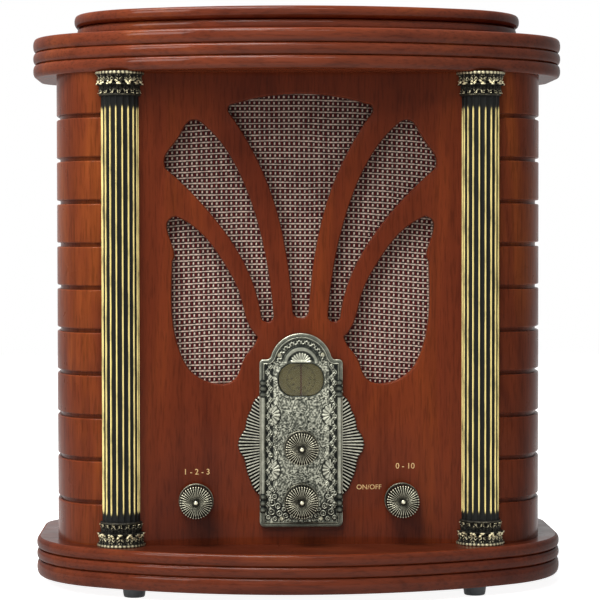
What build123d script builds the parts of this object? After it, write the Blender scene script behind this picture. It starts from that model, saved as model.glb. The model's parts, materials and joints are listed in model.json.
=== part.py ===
from build123d import *
from math import asin, atan2, cos, degrees, pi, radians, sin, sqrt
import os

os.makedirs("parts", exist_ok=True)

# Millimetres. +Z is up, the front faces -Y, and the origin is the middle of the
# outer box at the bottom of the feet.

# Heights of the stacked tiers, from the table up
foot_height = 5.5
plinth_beads = (9.0, 6.3, 6.7)
body_height = 265.0
cornice_beads = (7.6, 6.8, 8.0)
cap_beads = (6.9, 7.0)

# Bowed outline of the mouldings
plinth_half_width = 152.0
cornice_half_width = 153.8
cap_half_widths = (128.4, 130.0)
plinth_front = -88.0
cornice_front = -78.5
overall_back = 88.0
bow_radius = 225.0
end_radius = 70.0
back_corner_radius = 30.0
cap_front = -57.0
cap_back = 70.0
cap_end_radius = 60.0
bead_round = 2.4

# Body
body_half_width = 139.3
corner_run = 28.0
corner_depth = 46.0
panel_front = -44.0
body_back = 76.0
side_wall = 11.0
rear_corner_radius = 9.0
panel_half_width = 101.0
panel_thickness = 6.0
groove_count = 10
groove_height = 2.2
groove_depth = 2.0

# Half columns on the joint between the panel and the sides
column_x = 101.0
shaft_radius = 10.5
flute_count = 18
flute_radius = 1.62
ornament_radius = 13.7
capital_height = 13.5
pedestal_height = 14.0

# Controls
knob_row_z = 52.5
band_x = -59.0
volume_x = 56.6
tuning_z = 82.3
window_z = 120.4
shaft_r = 3.0
running_gap = 0.05
bush_outer_r = 3.75
knob_rim_r = 9.75
knob_grip_r = 8.7
knob_length = 13.0
knob_gap = 0.7
rib_count = 18
button_r = 3.8
button_rise = 0.9

# Escutcheon
plate_half_width = 23.4
plate_bottom = 37.5
plate_shoulder_z = 131.7
plate_top = 146.6
arch_half_width = 17.5
plate_thickness = 2.0
rim_width = 3.0
rim_height = 0.9
window_width = 26.0
window_height = 19.0
window_corner = 7.5
wing_thickness = 1.6
wing_groove_count = 33

# Inner works
cloth_thickness = 0.6
seat_gap = 0.3
baffle_thickness = 6.0
bracket_thickness = 1.2
speaker_z = 207.0
dial_radius = 16.0

z_plinth = foot_height
z_body = z_plinth + sum(plinth_beads)
z_cornice = z_body + body_height
z_cap = z_cornice + sum(cornice_beads)
z_top = z_cap + sum(cap_beads)
panel_back = panel_front + panel_thickness
cloth_front = panel_back + seat_gap
baffle_front = cloth_front + cloth_thickness + seat_gap
baffle_back = baffle_front + baffle_thickness
bracket_front = panel_back
bracket_back = bracket_front + bracket_thickness
plate_front = panel_front - plate_thickness


def save(shape, name):
    export_step(shape, "parts/" + name + ".step")


def box(x0, x1, y0, y1, z0, z1):
    block = Box(x1 - x0, y1 - y0, z1 - z0)
    return Pos((x0 + x1) / 2, (y0 + y1) / 2, (z0 + z1) / 2) * block


def rod_y(x, z, radius, y0, y1):
    return Pos(x, (y0 + y1) / 2, z) * Rot(90, 0, 0) * Cylinder(radius, y1 - y0)


def rod_z(x, y, radius, z0, z1):
    return Pos(x, y, (z0 + z1) / 2) * Cylinder(radius, z1 - z0)


def rod_x(y, z, radius, x0, x1):
    return Pos((x0 + x1) / 2, y, z) * Rot(0, 90, 0) * Cylinder(radius, x1 - x0)


def arc_about(cx, cy, radius, start, end):
    points = []
    for angle in (start, (start + end) / 2, end):
        turn = radians(angle)
        points.append((cx + radius * cos(turn), cy + radius * sin(turn)))
    return ThreePointArc(*points)


def corner_about(cx, cy, run, depth):
    """Quarter ellipse from the front round to the side."""
    return EllipticalCenterArc((cx, cy), run, depth, -90, arc_size=90)


def closed(edges):
    return make_face(edges)


def both_sides(edges):
    mirrored = [mirror(edge, Plane.YZ) for edge in edges]
    return list(edges) + mirrored


def bowed_face(half_width, front, back, bow, end, rear):
    """Outline with a bowed front, rounded ends and a flat back."""
    bow_y = front + bow
    reach = half_width - end
    drop = sqrt((bow - end) ** 2 - reach ** 2)
    end_y = bow_y - drop
    join = degrees(atan2(-drop, reach))
    edges = [
        arc_about(0, bow_y, bow, -90, join),
        arc_about(reach, end_y, end, join, 0),
        Line((half_width, end_y), (half_width, back - rear)),
        arc_about(half_width - rear, back - rear, rear, 0, 90),
        Line((half_width - rear, back), (0, back)),
    ]
    return closed(both_sides(edges))


def bead_slab(face, height, low, rounding):
    """A slab whose rim is rounded to a bead."""
    slab = extrude(face, height)
    rims = slab.edges().filter_by(Axis.Z, reverse=True)
    slab = fillet(rims, rounding)
    return Pos(0, 0, low) * slab


def bead_stack(faces, heights, low):
    z = low
    stack = None
    for face, height in zip(faces, heights):
        slab = bead_slab(face, height, z, bead_round)
        stack = slab if stack is None else stack + slab
        z = z + height
    return stack


def screw(x, y, z, axis, head_r, head_h, shank_r, shank_l):
    """A cross-head screw whose seat is at the given point, head along axis."""
    head = Pos(0, 0, head_h / 2) * Cone(head_r, head_r * 0.72, head_h)
    slot = Box(head_r * 1.2, head_r * 0.28, head_h * 0.7)
    cross = slot + Rot(0, 0, 90) * slot
    head = head - Pos(0, 0, head_h) * cross
    shank = Pos(0, 0, -shank_l / 2) * Cylinder(shank_r, shank_l)
    return Pos(x, y, z) * axis * (head + shank)


TO_FRONT = Rot(90, 0, 0)
TO_BACK = Rot(-90, 0, 0)
TO_UP = Rot(0, 0, 0)
TO_DOWN = Rot(180, 0, 0)


# Plinth, cornice and cap

foot_xs = (-93.5, 97.0)
foot_ys = (-52.5, 60.0)
foot_radius = 6.5
foot_screw_r = 1.5
feet_at = [(x, y) for x in foot_xs for y in foot_ys]

plinth_face = bowed_face(
    plinth_half_width, plinth_front, overall_back, bow_radius, end_radius, back_corner_radius
)
plinth = bead_stack([plinth_face] * 3, plinth_beads, z_plinth)
for x, y in feet_at:
    plinth = plinth - rod_z(x, y, foot_screw_r, z_plinth, z_plinth + 9.0)

cornice_face = bowed_face(
    cornice_half_width, cornice_front, overall_back, bow_radius, end_radius, back_corner_radius
)
cornice = bead_stack([cornice_face] * 3, cornice_beads, z_cornice)

cap_faces = []
for half_width in cap_half_widths:
    inset = cap_half_widths[1] - half_width
    cap_faces.append(
        bowed_face(
            half_width, cap_front + inset, cap_back - inset, bow_radius, cap_end_radius, 22.0
        )
    )
cap = bead_stack(cap_faces, cap_beads, z_cap)

feet = []
foot_screws = []
for x, y in feet_at:
    foot = Pos(x, y, foot_height / 2) * Cone(foot_radius - 0.7, foot_radius, foot_height)
    foot = foot - rod_z(x, y, 3.2, 0.0, 2.6)
    foot = foot - rod_z(x, y, foot_screw_r, 2.0, foot_height)
    feet.append(foot)
    foot_screws.append(screw(x, y, 2.6, TO_DOWN, 2.9, 1.6, foot_screw_r, 11.0))

save(plinth, "plinth")
save(cornice, "cornice")
save(cap, "top_cap")
save(Compound(children=feet), "rubber_feet")
save(Compound(children=foot_screws), "foot_screws")


# Grooved side walls with round front corners

side_x = body_half_width - corner_run
side_y = panel_front + corner_depth
side_edges = [
    Line((column_x, panel_front), (side_x, panel_front)),
    corner_about(side_x, side_y, corner_run, corner_depth),
    Line((body_half_width, side_y), (body_half_width, body_back - rear_corner_radius)),
    arc_about(
        body_half_width - rear_corner_radius,
        body_back - rear_corner_radius,
        rear_corner_radius,
        0,
        90,
    ),
    Line((body_half_width - rear_corner_radius, body_back), (body_half_width - side_wall, body_back)),
    Line(
        (body_half_width - side_wall, body_back),
        (body_half_width - side_wall, side_y),
    ),
    corner_about(side_x, side_y, corner_run - side_wall, corner_depth - side_wall),
    Line((side_x, panel_front + side_wall), (column_x, panel_front + side_wall)),
    Line((column_x, panel_front + side_wall), (column_x, panel_front)),
]
side_face = closed(side_edges)

core_face = closed(
    [
        Line((column_x - 8, panel_front + groove_depth), (side_x, panel_front + groove_depth)),
        corner_about(side_x, side_y, corner_run - groove_depth, corner_depth - groove_depth),
        Line(
            (body_half_width - groove_depth, side_y),
            (body_half_width - groove_depth, body_back + 5),
        ),
        Line((body_half_width - groove_depth, body_back + 5), (column_x - 8, body_back + 5)),
        Line((column_x - 8, body_back + 5), (column_x - 8, panel_front + groove_depth)),
    ]
)
band = box(column_x - 10, body_half_width + 10, panel_front - 10, body_back + 4, 0, groove_height)
groove = band - extrude(core_face, groove_height)
course = body_height / (groove_count + 1)

side = Pos(0, 0, z_body) * extrude(side_face, body_height)
for k in range(groove_count):
    z = z_body + (k + 1) * course - groove_height / 2
    side = side - Pos(0, 0, z) * groove
save(side, "cabinet_side_right")
save(mirror(side, Plane.YZ), "cabinet_side_left")


# Front panel pierced with five petals

fan_side = [(-40.3, 270.4), (-28.2, 251.4), (-17.0, 226.5), (-10.0, 201.5), (-5.6, 172.0), (-4.5, 159.0)]
fan = closed(
    both_sides(
        [
            ThreePointArc((0.0, 280.7), (-20.0, 279.1), (-37.5, 275.0)),
            ThreePointArc((-37.5, 275.0), (-40.6, 272.8), (-40.3, 270.4)),
            Spline(*fan_side),
            ThreePointArc((-4.5, 159.0), (-3.3, 156.1), (0.0, 154.9)),
        ]
    )
)

upper_inner = [(-57.0, 265.6), (-46.4, 255.6), (-34.0, 235.5), (-25.3, 212.5), (-19.0, 186.0), (-15.3, 157.0)]
upper_outer = [(-22.2, 155.2), (-25.4, 170.5), (-34.7, 191.5), (-47.9, 210.5), (-62.2, 226.4), (-75.6, 238.8)]
upper_tip = [(-75.6, 238.8), (-76.3, 244.0), (-68.8, 255.6), (-61.0, 266.0), (-57.0, 265.6)]
upper = closed(
    [
        Spline(*upper_inner),
        ThreePointArc((-15.3, 157.0), (-18.8, 152.6), (-22.2, 155.2)),
        Spline(*upper_outer),
        Spline(*upper_tip),
    ]
)

lower_inner = [(-70.0, 212.0), (-55.0, 201.8), (-43.2, 186.0), (-34.3, 168.5), (-28.9, 150.5), (-24.3, 144.3)]
lower_foot = [(-24.3, 144.3), (-26.6, 139.0), (-31.4, 132.8), (-35.6, 122.6), (-43.0, 117.8)]
lower_outer = [(-43.0, 117.8), (-52.5, 119.2), (-61.5, 124.8), (-68.2, 137.0), (-71.8, 153.0), (-72.0, 187.0)]
lower_tip = [(-72.0, 187.0), (-74.2, 202.0), (-74.6, 208.9), (-70.0, 212.0)]
lower = closed([Spline(*lower_inner), Spline(*lower_foot), Spline(*lower_outer), Spline(*lower_tip)])

petals = [fan, upper, lower, mirror(upper, Plane.YZ), mirror(lower, Plane.YZ)]

panel = box(-panel_half_width, panel_half_width, panel_front, panel_back, z_body, z_cornice)
for petal in petals:
    upright = Rot(90, 0, 0) * petal
    cutter = Pos(0, panel_back + 1, 0) * extrude(upright, panel_thickness + 2, dir=(0, -1, 0))
    panel = panel - cutter

control_holes = [(band_x, knob_row_z), (0, knob_row_z), (volume_x, knob_row_z), (0, tuning_z)]
nut_room_r = 6.4
for x, z in control_holes:
    panel = panel - rod_y(x, z, nut_room_r, panel_front - 1, panel_back + 1)
dial_room_r = dial_radius + 1.2
panel = panel - rod_y(0, window_z, dial_room_r, panel_front - 1, panel_back + 1)
plate_pins_at = [(-11.0, 42.3), (11.0, 42.3), (-12.2, 134.3), (12.2, 134.3)]
pin_r = 0.9
for x, z in plate_pins_at:
    panel = panel - rod_y(x, z, pin_r, panel_front, panel_front + 4.0)
bracket_screws_at = [(-70.0, 70.0), (70.0, 70.0), (-30.0, 42.0), (30.0, 42.0)]
wood_screw_r = 1.3
for x, z in bracket_screws_at:
    panel = panel - rod_y(x, z, wood_screw_r, panel_back - 4.5, panel_back)
save(panel, "front_panel")


# Fluted half columns with leaf capitals and pedestals

half_space = box(-40, 40, 0, 40, -10, 400)
shaft_low = z_body + pedestal_height
shaft_high = z_cornice - capital_height
shaft = rod_z(0, 0, shaft_radius, shaft_low, shaft_high) - half_space
for k in range(flute_count // 2):
    turn = radians(-180 + (k + 0.5) * 360 / flute_count)
    reach = shaft_radius + 0.45
    shaft = shaft - rod_z(
        reach * cos(turn), reach * sin(turn), flute_radius, shaft_low - 1, shaft_high + 1
    )


def leaf(radius, z, width, height, depth):
    """A pointed leaf standing out from a round core."""
    outline = closed(
        [
            Line((-width * 0.42, 0), (width * 0.42, 0)),
            ThreePointArc((width * 0.42, 0), (width * 0.46, height * 0.55), (0, height)),
            ThreePointArc((0, height), (-width * 0.46, height * 0.55), (-width * 0.42, 0)),
        ]
    )
    body = extrude(Rot(90, 0, 0) * outline, depth + 2.5, dir=(0, -1, 0))
    return Pos(0, -(radius - 2.5), z) * body


def ornament(low, rings, rows):
    """Stacked rings and rows of leaves round a half core."""
    profile = [(0.0, low)]
    z = low
    for radius, height in rings:
        profile.append((radius, z))
        z = z + height
        profile.append((radius, z))
    profile.append((0.0, z))
    outline = Polyline(*[(r, 0, h) for r, h in profile], close=True)
    core = revolve(make_face(outline), Axis.Z, 360)
    for radius, height, z_row, count, width, offset, depth in rows:
        for k in range(count):
            angle = -90 + (k - (count - 1) / 2) * offset
            core = core + Rot(0, 0, angle + 90) * leaf(radius, z_row, width, height, depth)
    return core - half_space


pedestal = ornament(
    z_body,
    [(ornament_radius, 1.9), (11.9, 4.6), (12.9, 1.0), (11.3, 4.4), (12.4, 1.1), (11.4, 1.0)],
    [
        (11.9, 4.2, z_body + 2.1, 7, 4.6, 24.0, 1.3),
        (11.3, 4.0, z_body + 7.7, 8, 4.1, 21.5, 1.1),
    ],
)
capital = ornament(
    z_cornice - capital_height,
    [(11.4, 0.9), (12.4, 1.1), (11.3, 4.2), (12.6, 0.9), (12.0, 4.5), (ornament_radius, 1.9)],
    [
        (11.3, 3.8, z_cornice - capital_height + 2.1, 8, 4.1, 21.5, 1.1),
        (12.0, 4.1, z_cornice - capital_height + 7.2, 7, 4.6, 24.0, 1.2),
    ],
)
for sx, name in ((-1, "left"), (1, "right")):
    at = Pos(sx * column_x, panel_front, 0)
    save(at * shaft, "column_shaft_" + name)
    save(at * capital, "column_capital_" + name)
    save(at * pedestal, "column_pedestal_" + name)


# Escutcheon plate with arched head, raised rim, window and wings

plate_edges = [
    Line((0, plate_bottom), (plate_half_width - 2.8, plate_bottom)),
    arc_about(plate_half_width - 2.8, plate_bottom + 2.8, 2.8, -90, 0),
    Line((plate_half_width, plate_bottom + 2.8), (plate_half_width, plate_shoulder_z - 1.2)),
    arc_about(plate_half_width - 1.2, plate_shoulder_z - 1.2, 1.2, 0, 90),
    Line((plate_half_width - 1.2, plate_shoulder_z), (arch_half_width, plate_shoulder_z)),
    Line((arch_half_width, plate_shoulder_z), (arch_half_width, plate_shoulder_z + 1.4)),
    ThreePointArc(
        (arch_half_width, plate_shoulder_z + 1.4),
        (arch_half_width * 0.68, plate_shoulder_z + 1.4 + (plate_top - plate_shoulder_z - 1.4) * 0.7),
        (0, plate_top),
    ),
]
plate_outline = closed(both_sides(plate_edges))


def raised(face, y0, y1):
    """A flat outline stood upright between two depths."""
    return Pos(0, y1, 0) * extrude(Rot(90, 0, 0) * face, y1 - y0, dir=(0, -1, 0))


plate = raised(plate_outline, plate_front - rim_height, panel_front)
field = offset(plate_outline, -rim_width)
plate = plate - raised(field, plate_front - rim_height - 1, plate_front)

window_hole = Pos(0, window_z) * RectangleRounded(window_width, window_height, window_corner)
window_frame = Pos(0, window_z) * RectangleRounded(
    window_width + 2.4, window_height + 2.4, window_corner + 1.2
)
plate = plate + raised(window_frame, plate_front - 0.6, plate_front)

shell_z = (100.6, 69.6)
shell_r = 4.2
for z in shell_z:
    for sx in (-1, 1):
        half_shell = rod_y(sx * 20.0, z, shell_r, plate_front - 0.7, plate_front)
        half_shell = half_shell & box(-20, 20, plate_front - 2, plate_front, z - 6, z + 6)
        plate = plate + half_shell
crest = rod_y(0, window_z + window_height / 2 + 1.0, 6.0, plate_front - 0.7, plate_front)
crest = crest & box(-9, 9, plate_front - 2, plate_front, window_z + window_height / 2 + 1.0, plate_top - 2)
plate = plate + crest
for sx in (-1, 1):
    lath = box(sx * 18.0 - 0.5, sx * 18.0 + 0.5, plate_front - 0.5, plate_front, 60.0, 112.0)
    plate = plate + lath
    scroll = rod_y(sx * 15.8, 46.5, 3.2, plate_front - 0.6, plate_front)
    plate = plate + (scroll - rod_y(sx * 15.8, 46.5, 1.3, plate_front - 1, plate_front))

plate = plate - raised(window_hole, plate_front - 3, panel_front + 1)
knob_hole_r = 4.3
for z in (knob_row_z, tuning_z):
    plate = plate - rod_y(0, z, knob_hole_r, plate_front - 3, panel_front + 1)
for x, z in plate_pins_at:
    plate = plate - rod_y(x, z, pin_r, plate_front - 3, panel_front + 1)
save(plate, "escutcheon_plate")

pins = []
for x, z in plate_pins_at:
    pin = rod_y(x, z, pin_r, plate_front, panel_front + 3.9)
    head = Pos(x, plate_front - 0.25, z) * Rot(90, 0, 0) * Cone(1.35, 0.9, 0.5)
    pins.append(pin + head)
save(Compound(children=pins), "escutcheon_pins")

wing_points = [(-23.4, 114.8), (-29.2, 103.0), (-34.2, 91.0), (-35.6, 83.6)]
wing_points = wing_points + [(-33.0, 77.0), (-29.0, 66.8), (-23.4, 54.6)]
wing_face = closed([Spline(*wing_points), Line(wing_points[-1], wing_points[0])])
wing = raised(wing_face, panel_front - wing_thickness, panel_front)
ray_x = 6.0
ray_z = 84.5
for k in range(wing_groove_count):
    z_cut = 55.5 + k * 58.0 / (wing_groove_count - 1)
    turn = degrees(atan2(z_cut - ray_z, -23.4 - ray_x))
    ray = Box(40, 1.0, 1.0)
    ray = Rot(45, 0, 0) * ray
    ray = Pos(36, 0, 0) * ray
    cut = Pos(ray_x, panel_front - wing_thickness - 0.1, ray_z) * Rot(0, -turn, 0) * ray
    wing = wing - cut
save(wing, "escutcheon_wing_left")
save(mirror(wing, Plane.YZ), "escutcheon_wing_right")

rods = []
rod_offset = 21.5
for sx in (-1, 1):
    for radius, z0, z1 in ((1.3, 56.9, 110.3), (1.8, 45.6, 56.6), (1.8, 110.6, 120.4)):
        barrel = rod_z(sx * rod_offset, plate_front - rim_height - 0.3, radius, z0, z1)
        rods.append(barrel - box(-30, 30, plate_front - rim_height, panel_front, 30, 140))
save(Compound(children=rods), "escutcheon_rods")

window = raised(window_hole, panel_front - 1.4, panel_front - 0.2)
save(window, "dial_window")
hairline = box(-0.2, 0.2, panel_front - 0.2, panel_front + 0.1, window_z - 9.0, window_z + 9.0)
save(hairline, "dial_hairline")


# Knobs, shafts, bushes and the works behind them

def knob(x, z, seat_y):
    """Scalloped knob with a thin raised rim and a domed button."""
    front = seat_y - knob_length
    profile = [
        (0.0, 0.0),
        (knob_rim_r, 0.0),
        (knob_rim_r, -1.3),
        (knob_grip_r + 0.2, -2.0),
        (knob_grip_r - 0.2, -10.2),
        (knob_grip_r - 1.4, -11.4),
        (button_r + 0.6, -11.4),
        (button_r, button_rise - knob_length),
    ]
    edges = [Line(*pair) for pair in zip(profile, profile[1:])]
    dome_r = (button_r ** 2 + button_rise ** 2) / (2 * button_rise)
    dome_y = dome_r - knob_length
    edge_angle = -90 + degrees(asin(button_r / dome_r))
    edges.append(arc_about(0, dome_y, dome_r, edge_angle, -90))
    edges.append(Line((0.0, -knob_length), (0.0, 0.0)))
    body = revolve(make_face(edges), Axis.Y, 360)
    scallop = rod_y(knob_grip_r + 0.25, 0, 0.9, -13.0, -2.7)
    for k in range(rib_count):
        body = body - Rot(0, (k + 0.5) * 360 / rib_count, 0) * scallop
    bore = rod_y(0, 0, shaft_r, -9.0, 1.0) - box(-4, 4, -10, -1.4, shaft_r - 0.7, shaft_r + 1)
    body = body - bore
    return Pos(x, seat_y, z) * body, front


def control_shaft(x, z, seat_y, rear_y):
    """Round shaft with a flat for the knob."""
    tip = seat_y - 8.4
    shaft_body = rod_y(x, z, shaft_r, tip, rear_y)
    flat = box(x - 4, x + 4, tip - 1, seat_y - 1.4, z + shaft_r - 0.7, z + shaft_r + 1)
    return shaft_body - flat


plain_seat = panel_front - knob_gap
plate_seat = plate_front - rim_height - knob_gap + 0.3
controls = {
    "band": (band_x, knob_row_z, plain_seat),
    "tone": (0.0, knob_row_z, plate_seat),
    "volume": (volume_x, knob_row_z, plain_seat),
    "tuning": (0.0, tuning_z, plate_seat),
}
bush_front = panel_front - 0.2
nut_thickness = 1.8
washer_thickness = 0.6
body_front = bracket_back
pot_radius = 8.0
pot_depth = 9.0
for name, (x, z, seat_y) in controls.items():
    grip, front = knob(x, z, seat_y)
    save(grip, name + "_knob")

bracket_upper = 138.0
bracket_half = 76.0
bracket = box(-bracket_half, bracket_half, bracket_front, bracket_back, 36.0, 96.0)
bracket = bracket + box(-24.0, 24.0, bracket_front, bracket_back, 96.0, bracket_upper)
bracket = bracket + box(-bracket_half, bracket_half, bracket_back, bracket_back + 8.0, 34.8, 36.0)
for x, z in control_holes + [(0, window_z)]:
    bracket = bracket - rod_y(x, z, bush_outer_r, bracket_front - 1, bracket_back + 1)
for x, z in bracket_screws_at:
    bracket = bracket - rod_y(x, z, wood_screw_r, bracket_front - 1, bracket_back + 1)
for sx in (-1, 1):
    bracket = bracket - box(sx * 46 - 9, sx * 46 + 9, bracket_front - 1, bracket_back + 1, 78, 88)
save(bracket, "control_bracket")
bracket_screws = [
    screw(x, bracket_back, z, TO_BACK, 2.8, 1.7, wood_screw_r, bracket_thickness + 4.3)
    for x, z in bracket_screws_at
]
save(Compound(children=bracket_screws), "bracket_screws")


def bushed_body(x, z, radius, depth, front_y):
    """Round control body with its bush and three solder tags."""
    case = rod_y(x, z, radius, front_y, front_y + depth)
    case = fillet(case.edges().group_by(Axis.Y)[-1], 0.8)
    bush = rod_y(x, z, bush_outer_r, bush_front, front_y + 1)
    case = case + bush
    for k in (-1, 0, 1):
        tag = box(x + k * 4.5 - 0.9, x + k * 4.5 + 0.9, front_y + 2.0, front_y + 2.6, z - radius - 5.0, z - 4)
        case = case + tag
    case = case - rod_y(x, z, shaft_r + running_gap, bush_front - 1, front_y + depth - 2.0)
    return case


tone_pot = bushed_body(0, knob_row_z, pot_radius, pot_depth, body_front)
save(tone_pot, "tone_control")
volume_pot = bushed_body(volume_x, knob_row_z, pot_radius, pot_depth, body_front)
can_front = body_front + pot_depth
switch_can = rod_y(volume_x, knob_row_z, pot_radius - 1.0, can_front, can_front + 6.0)
volume_pot = volume_pot + switch_can
save(volume_pot, "volume_control")
band_body = bushed_body(band_x, knob_row_z, pot_radius + 1.5, 6.0, body_front)
save(band_body, "band_switch")

for name, depth in (("tone", pot_depth), ("volume", pot_depth), ("band", 6.0)):
    x, z, seat_y = controls[name]
    save(control_shaft(x, z, seat_y, body_front + depth - 2.2), name + "_shaft")

pulley_front = bracket_back + 2.6
pulley_back = pulley_front + 2.4
cord_r = 0.4


def pulley(x, z, radius):
    wheel = rod_y(x, z, radius + 1.0, pulley_front, pulley_back)
    middle = (pulley_front + pulley_back) / 2
    ring = rod_y(x, z, radius + 2.0, middle - 0.75, middle + 0.75)
    ring = ring - rod_y(x, z, radius, middle - 0.75, middle + 0.75)
    return wheel - ring


small_pulley_r = 5.0
large_pulley_r = 15.0
tuning_rear = pulley_back + 1.5
tuning_bush = rod_y(0, tuning_z, bush_outer_r, bush_front, bracket_back + 1.4)
tuning_bush = tuning_bush + rod_y(0, tuning_z, 5.4, bracket_back, bracket_back + 1.4)
tuning_bush = tuning_bush - rod_y(0, tuning_z, shaft_r + running_gap, bush_front - 1, bracket_back + 2)
tuning_shaft = control_shaft(0, tuning_z, plate_seat, tuning_rear)
tuning_shaft = tuning_shaft + pulley(0, tuning_z, small_pulley_r)
save(tuning_shaft, "tuning_shaft")

dial_front = panel_front + 1.0
dial_disc = rod_y(0, window_z, dial_radius, dial_front, dial_front + 1.0)
dial_disc = dial_disc - rod_y(0, window_z, shaft_r, dial_front - 1, dial_front + 2)
save(dial_disc, "dial_disc")
gang_front = pulley_back + 2.0
gang_depth = 24.0
dial_shaft = rod_y(0, window_z, shaft_r, dial_front, gang_front + 6.0)
dial_shaft = dial_shaft + rod_y(0, window_z, 5.0, dial_front + 1.0, dial_front + 2.6)
dial_shaft = dial_shaft + pulley(0, window_z, large_pulley_r)
save(dial_shaft, "dial_shaft")
dial_bush = rod_y(0, window_z, bush_outer_r, bracket_front - 1.6, bracket_back + 1.4)
dial_bush = dial_bush + rod_y(0, window_z, 5.4, bracket_back, bracket_back + 1.4)
dial_bush = dial_bush - rod_y(0, window_z, shaft_r + running_gap, bracket_front - 4, bracket_back + 3)
save(Compound(children=[tuning_bush, dial_bush]), "bracket_bushes")

nuts = []
for x, z in control_holes:
    hexagon = RegularPolygon(5.4, 6, major_radius=False)
    washer = rod_y(x, z, 6.0, bracket_front - washer_thickness, bracket_front)
    washer = washer - rod_y(x, z, bush_outer_r, bracket_front - 2, bracket_front)
    nuts.append(washer)
    nut_back = bracket_front - washer_thickness
    nut = Pos(x, nut_back, z) * Rot(90, 0, 0) * extrude(hexagon, nut_thickness)
    nut = nut - rod_y(x, z, bush_outer_r, nut_back - 3, nut_back + 1)
    nuts.append(nut)
save(Compound(children=nuts), "control_nuts")

span = window_z - tuning_z
lean = asin((large_pulley_r - small_pulley_r) / span)
cord_gap = 0.15
r_small = small_pulley_r + cord_gap
r_large = large_pulley_r + cord_gap


def loop_face(extra):
    a = r_small + extra
    b = r_large + extra
    tilt = asin((b - a) / span)
    side_angle = degrees(tilt)
    p_small = (a * cos(tilt), tuning_z - a * sin(tilt))
    p_large = (b * cos(tilt), window_z - b * sin(tilt))
    edges = [
        arc_about(0, tuning_z, a, -90, -side_angle),
        Line(p_small, p_large),
        arc_about(0, window_z, b, -side_angle, 90),
    ]
    return closed(both_sides(edges))


cord_middle = (pulley_front + pulley_back) / 2
loop_band = loop_face(2 * cord_r) - loop_face(0.0)
dial_cord = raised(loop_band, cord_middle - cord_r, cord_middle + cord_r)
save(dial_cord, "dial_cord")

gang = box(-17, 17, gang_front, gang_front + 1.5, window_z - 16, window_z + 16)
gang_back = gang_front + gang_depth
gang = gang + box(-17, 17, gang_back - 1.5, gang_back, window_z - 16, window_z + 16)
gang = gang + box(-17, 17, gang_front, gang_front + gang_depth, window_z - 16, window_z - 14.5)
for k in range(7):
    y = gang_front + 7.5 + k * 2.0
    vane = rod_y(6, window_z, 12.0, y, y + 0.6) & box(-2, 18, y - 1, y + 1, window_z - 15, window_z + 13)
    gang = gang + vane + box(-2, 18, y, y + 0.6, window_z - 15, window_z - 6)
gang = gang - rod_y(0, window_z, shaft_r + running_gap, gang_front - 1, gang_front + 6.4)
for sx in (-1, 1):
    gang = gang + box(sx * 14 - 2, sx * 14 + 2, bracket_back, gang_front, window_z + 17 - 3, window_z + 17)
    gang = gang + box(sx * 14 - 2, sx * 14 + 2, gang_front, gang_front + 1.5, window_z + 14, window_z + 17)
save(gang, "tuning_capacitor")

lamp_y = bracket_back + 3.9
lamp_z = 105.0
lamp_holder = box(18.0, 27.0, bracket_back, bracket_back + 1.0, lamp_z - 4.0, lamp_z + 4.0)
lamp_holder = lamp_holder + box(26.0, 27.0, bracket_back, bracket_back + 8.0, lamp_z - 4.0, lamp_z + 4.0)
lamp_holder = lamp_holder + rod_x(lamp_y, lamp_z, 2.8, 23.0, 26.0)
lamp = rod_x(lamp_y, lamp_z, 2.4, 16.5, 23.0)
save(Compound(children=[lamp_holder, lamp]), "dial_lamp")


# Grille cloth, baffle and loudspeaker

notch_half = 36.0
notch_top = 148.5
cloth_notch_half = 24.6
cloth = box(-86, 86, cloth_front, cloth_front + cloth_thickness, 109, 288)
cloth = cloth - box(-cloth_notch_half, cloth_notch_half, -60, 0, 100, notch_top)
save(cloth, "grille_cloth")

baffle = box(-100, 100, baffle_front, baffle_back, 103, 291)
baffle = baffle - box(-notch_half, notch_half, -60, 0, 100, notch_top)
cone_r = 42.0
baffle = baffle - rod_y(0, speaker_z, cone_r + 1.0, -60, 0)
speaker_screws_at = [(sx * 38.0, speaker_z + sz * 38.0) for sx in (-1, 1) for sz in (-1, 1)]
for x, z in speaker_screws_at:
    baffle = baffle - rod_y(x, z, wood_screw_r, baffle_back - 5.0, baffle_back)
save(baffle, "speaker_baffle")

flange = box(-45, 45, baffle_back, baffle_back + 1.2, speaker_z - 45, speaker_z + 45)
flange = fillet(flange.edges().filter_by(Axis.Y), 9.0)
basket_outer = [(46.0, 0.0), (44.0, 6.0), (24.0, 26.0), (24.0, 27.5), (0.0, 27.5)]
basket_inner = [(0, 26.0), (22.5, 26.0), (42.5, 5.6), (43.0, 0.0)]
basket_points = basket_outer + basket_inner
basket_edges = [Line(*pair) for pair in zip(basket_points, basket_points[1:] + basket_points[:1])]
bowl = revolve(make_face(basket_edges), Axis.Y, 360)
for k in range(4):
    window_cut = Rot(0, 45 + k * 90, 0) * box(20, 60, 7.5, 24.0, -13, 13)
    bowl = bowl - window_cut
basket = flange - rod_y(0, speaker_z, 43.0, baffle_back - 1, baffle_back + 2)
basket = basket + Pos(0, baffle_back, speaker_z) * bowl
for x, z in speaker_screws_at:
    basket = basket - rod_y(x, z, wood_screw_r, baffle_back - 1, baffle_back + 3)
save(basket, "speaker_basket")
magnet_front = baffle_back + 27.5
magnet = rod_y(0, speaker_z, 26.0, magnet_front, magnet_front + 10.0)
magnet = fillet(magnet.edges().group_by(Axis.Y)[-1], 1.2)
magnet = magnet + rod_y(0, speaker_z, 23.0, magnet_front + 10.0, magnet_front + 12.5)
save(magnet, "speaker_magnet")
cone_near = [(42.6, 0.3), (38.0, 1.2), (37.0, 0.6), (12.0, 17.0), (0.0, 14.0)]
cone_far = [(0.0, 15.2), (12.0, 18.4), (37.2, 2.2), (38.0, 2.4), (42.6, 1.4)]
cone_points = cone_near + cone_far
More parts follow.
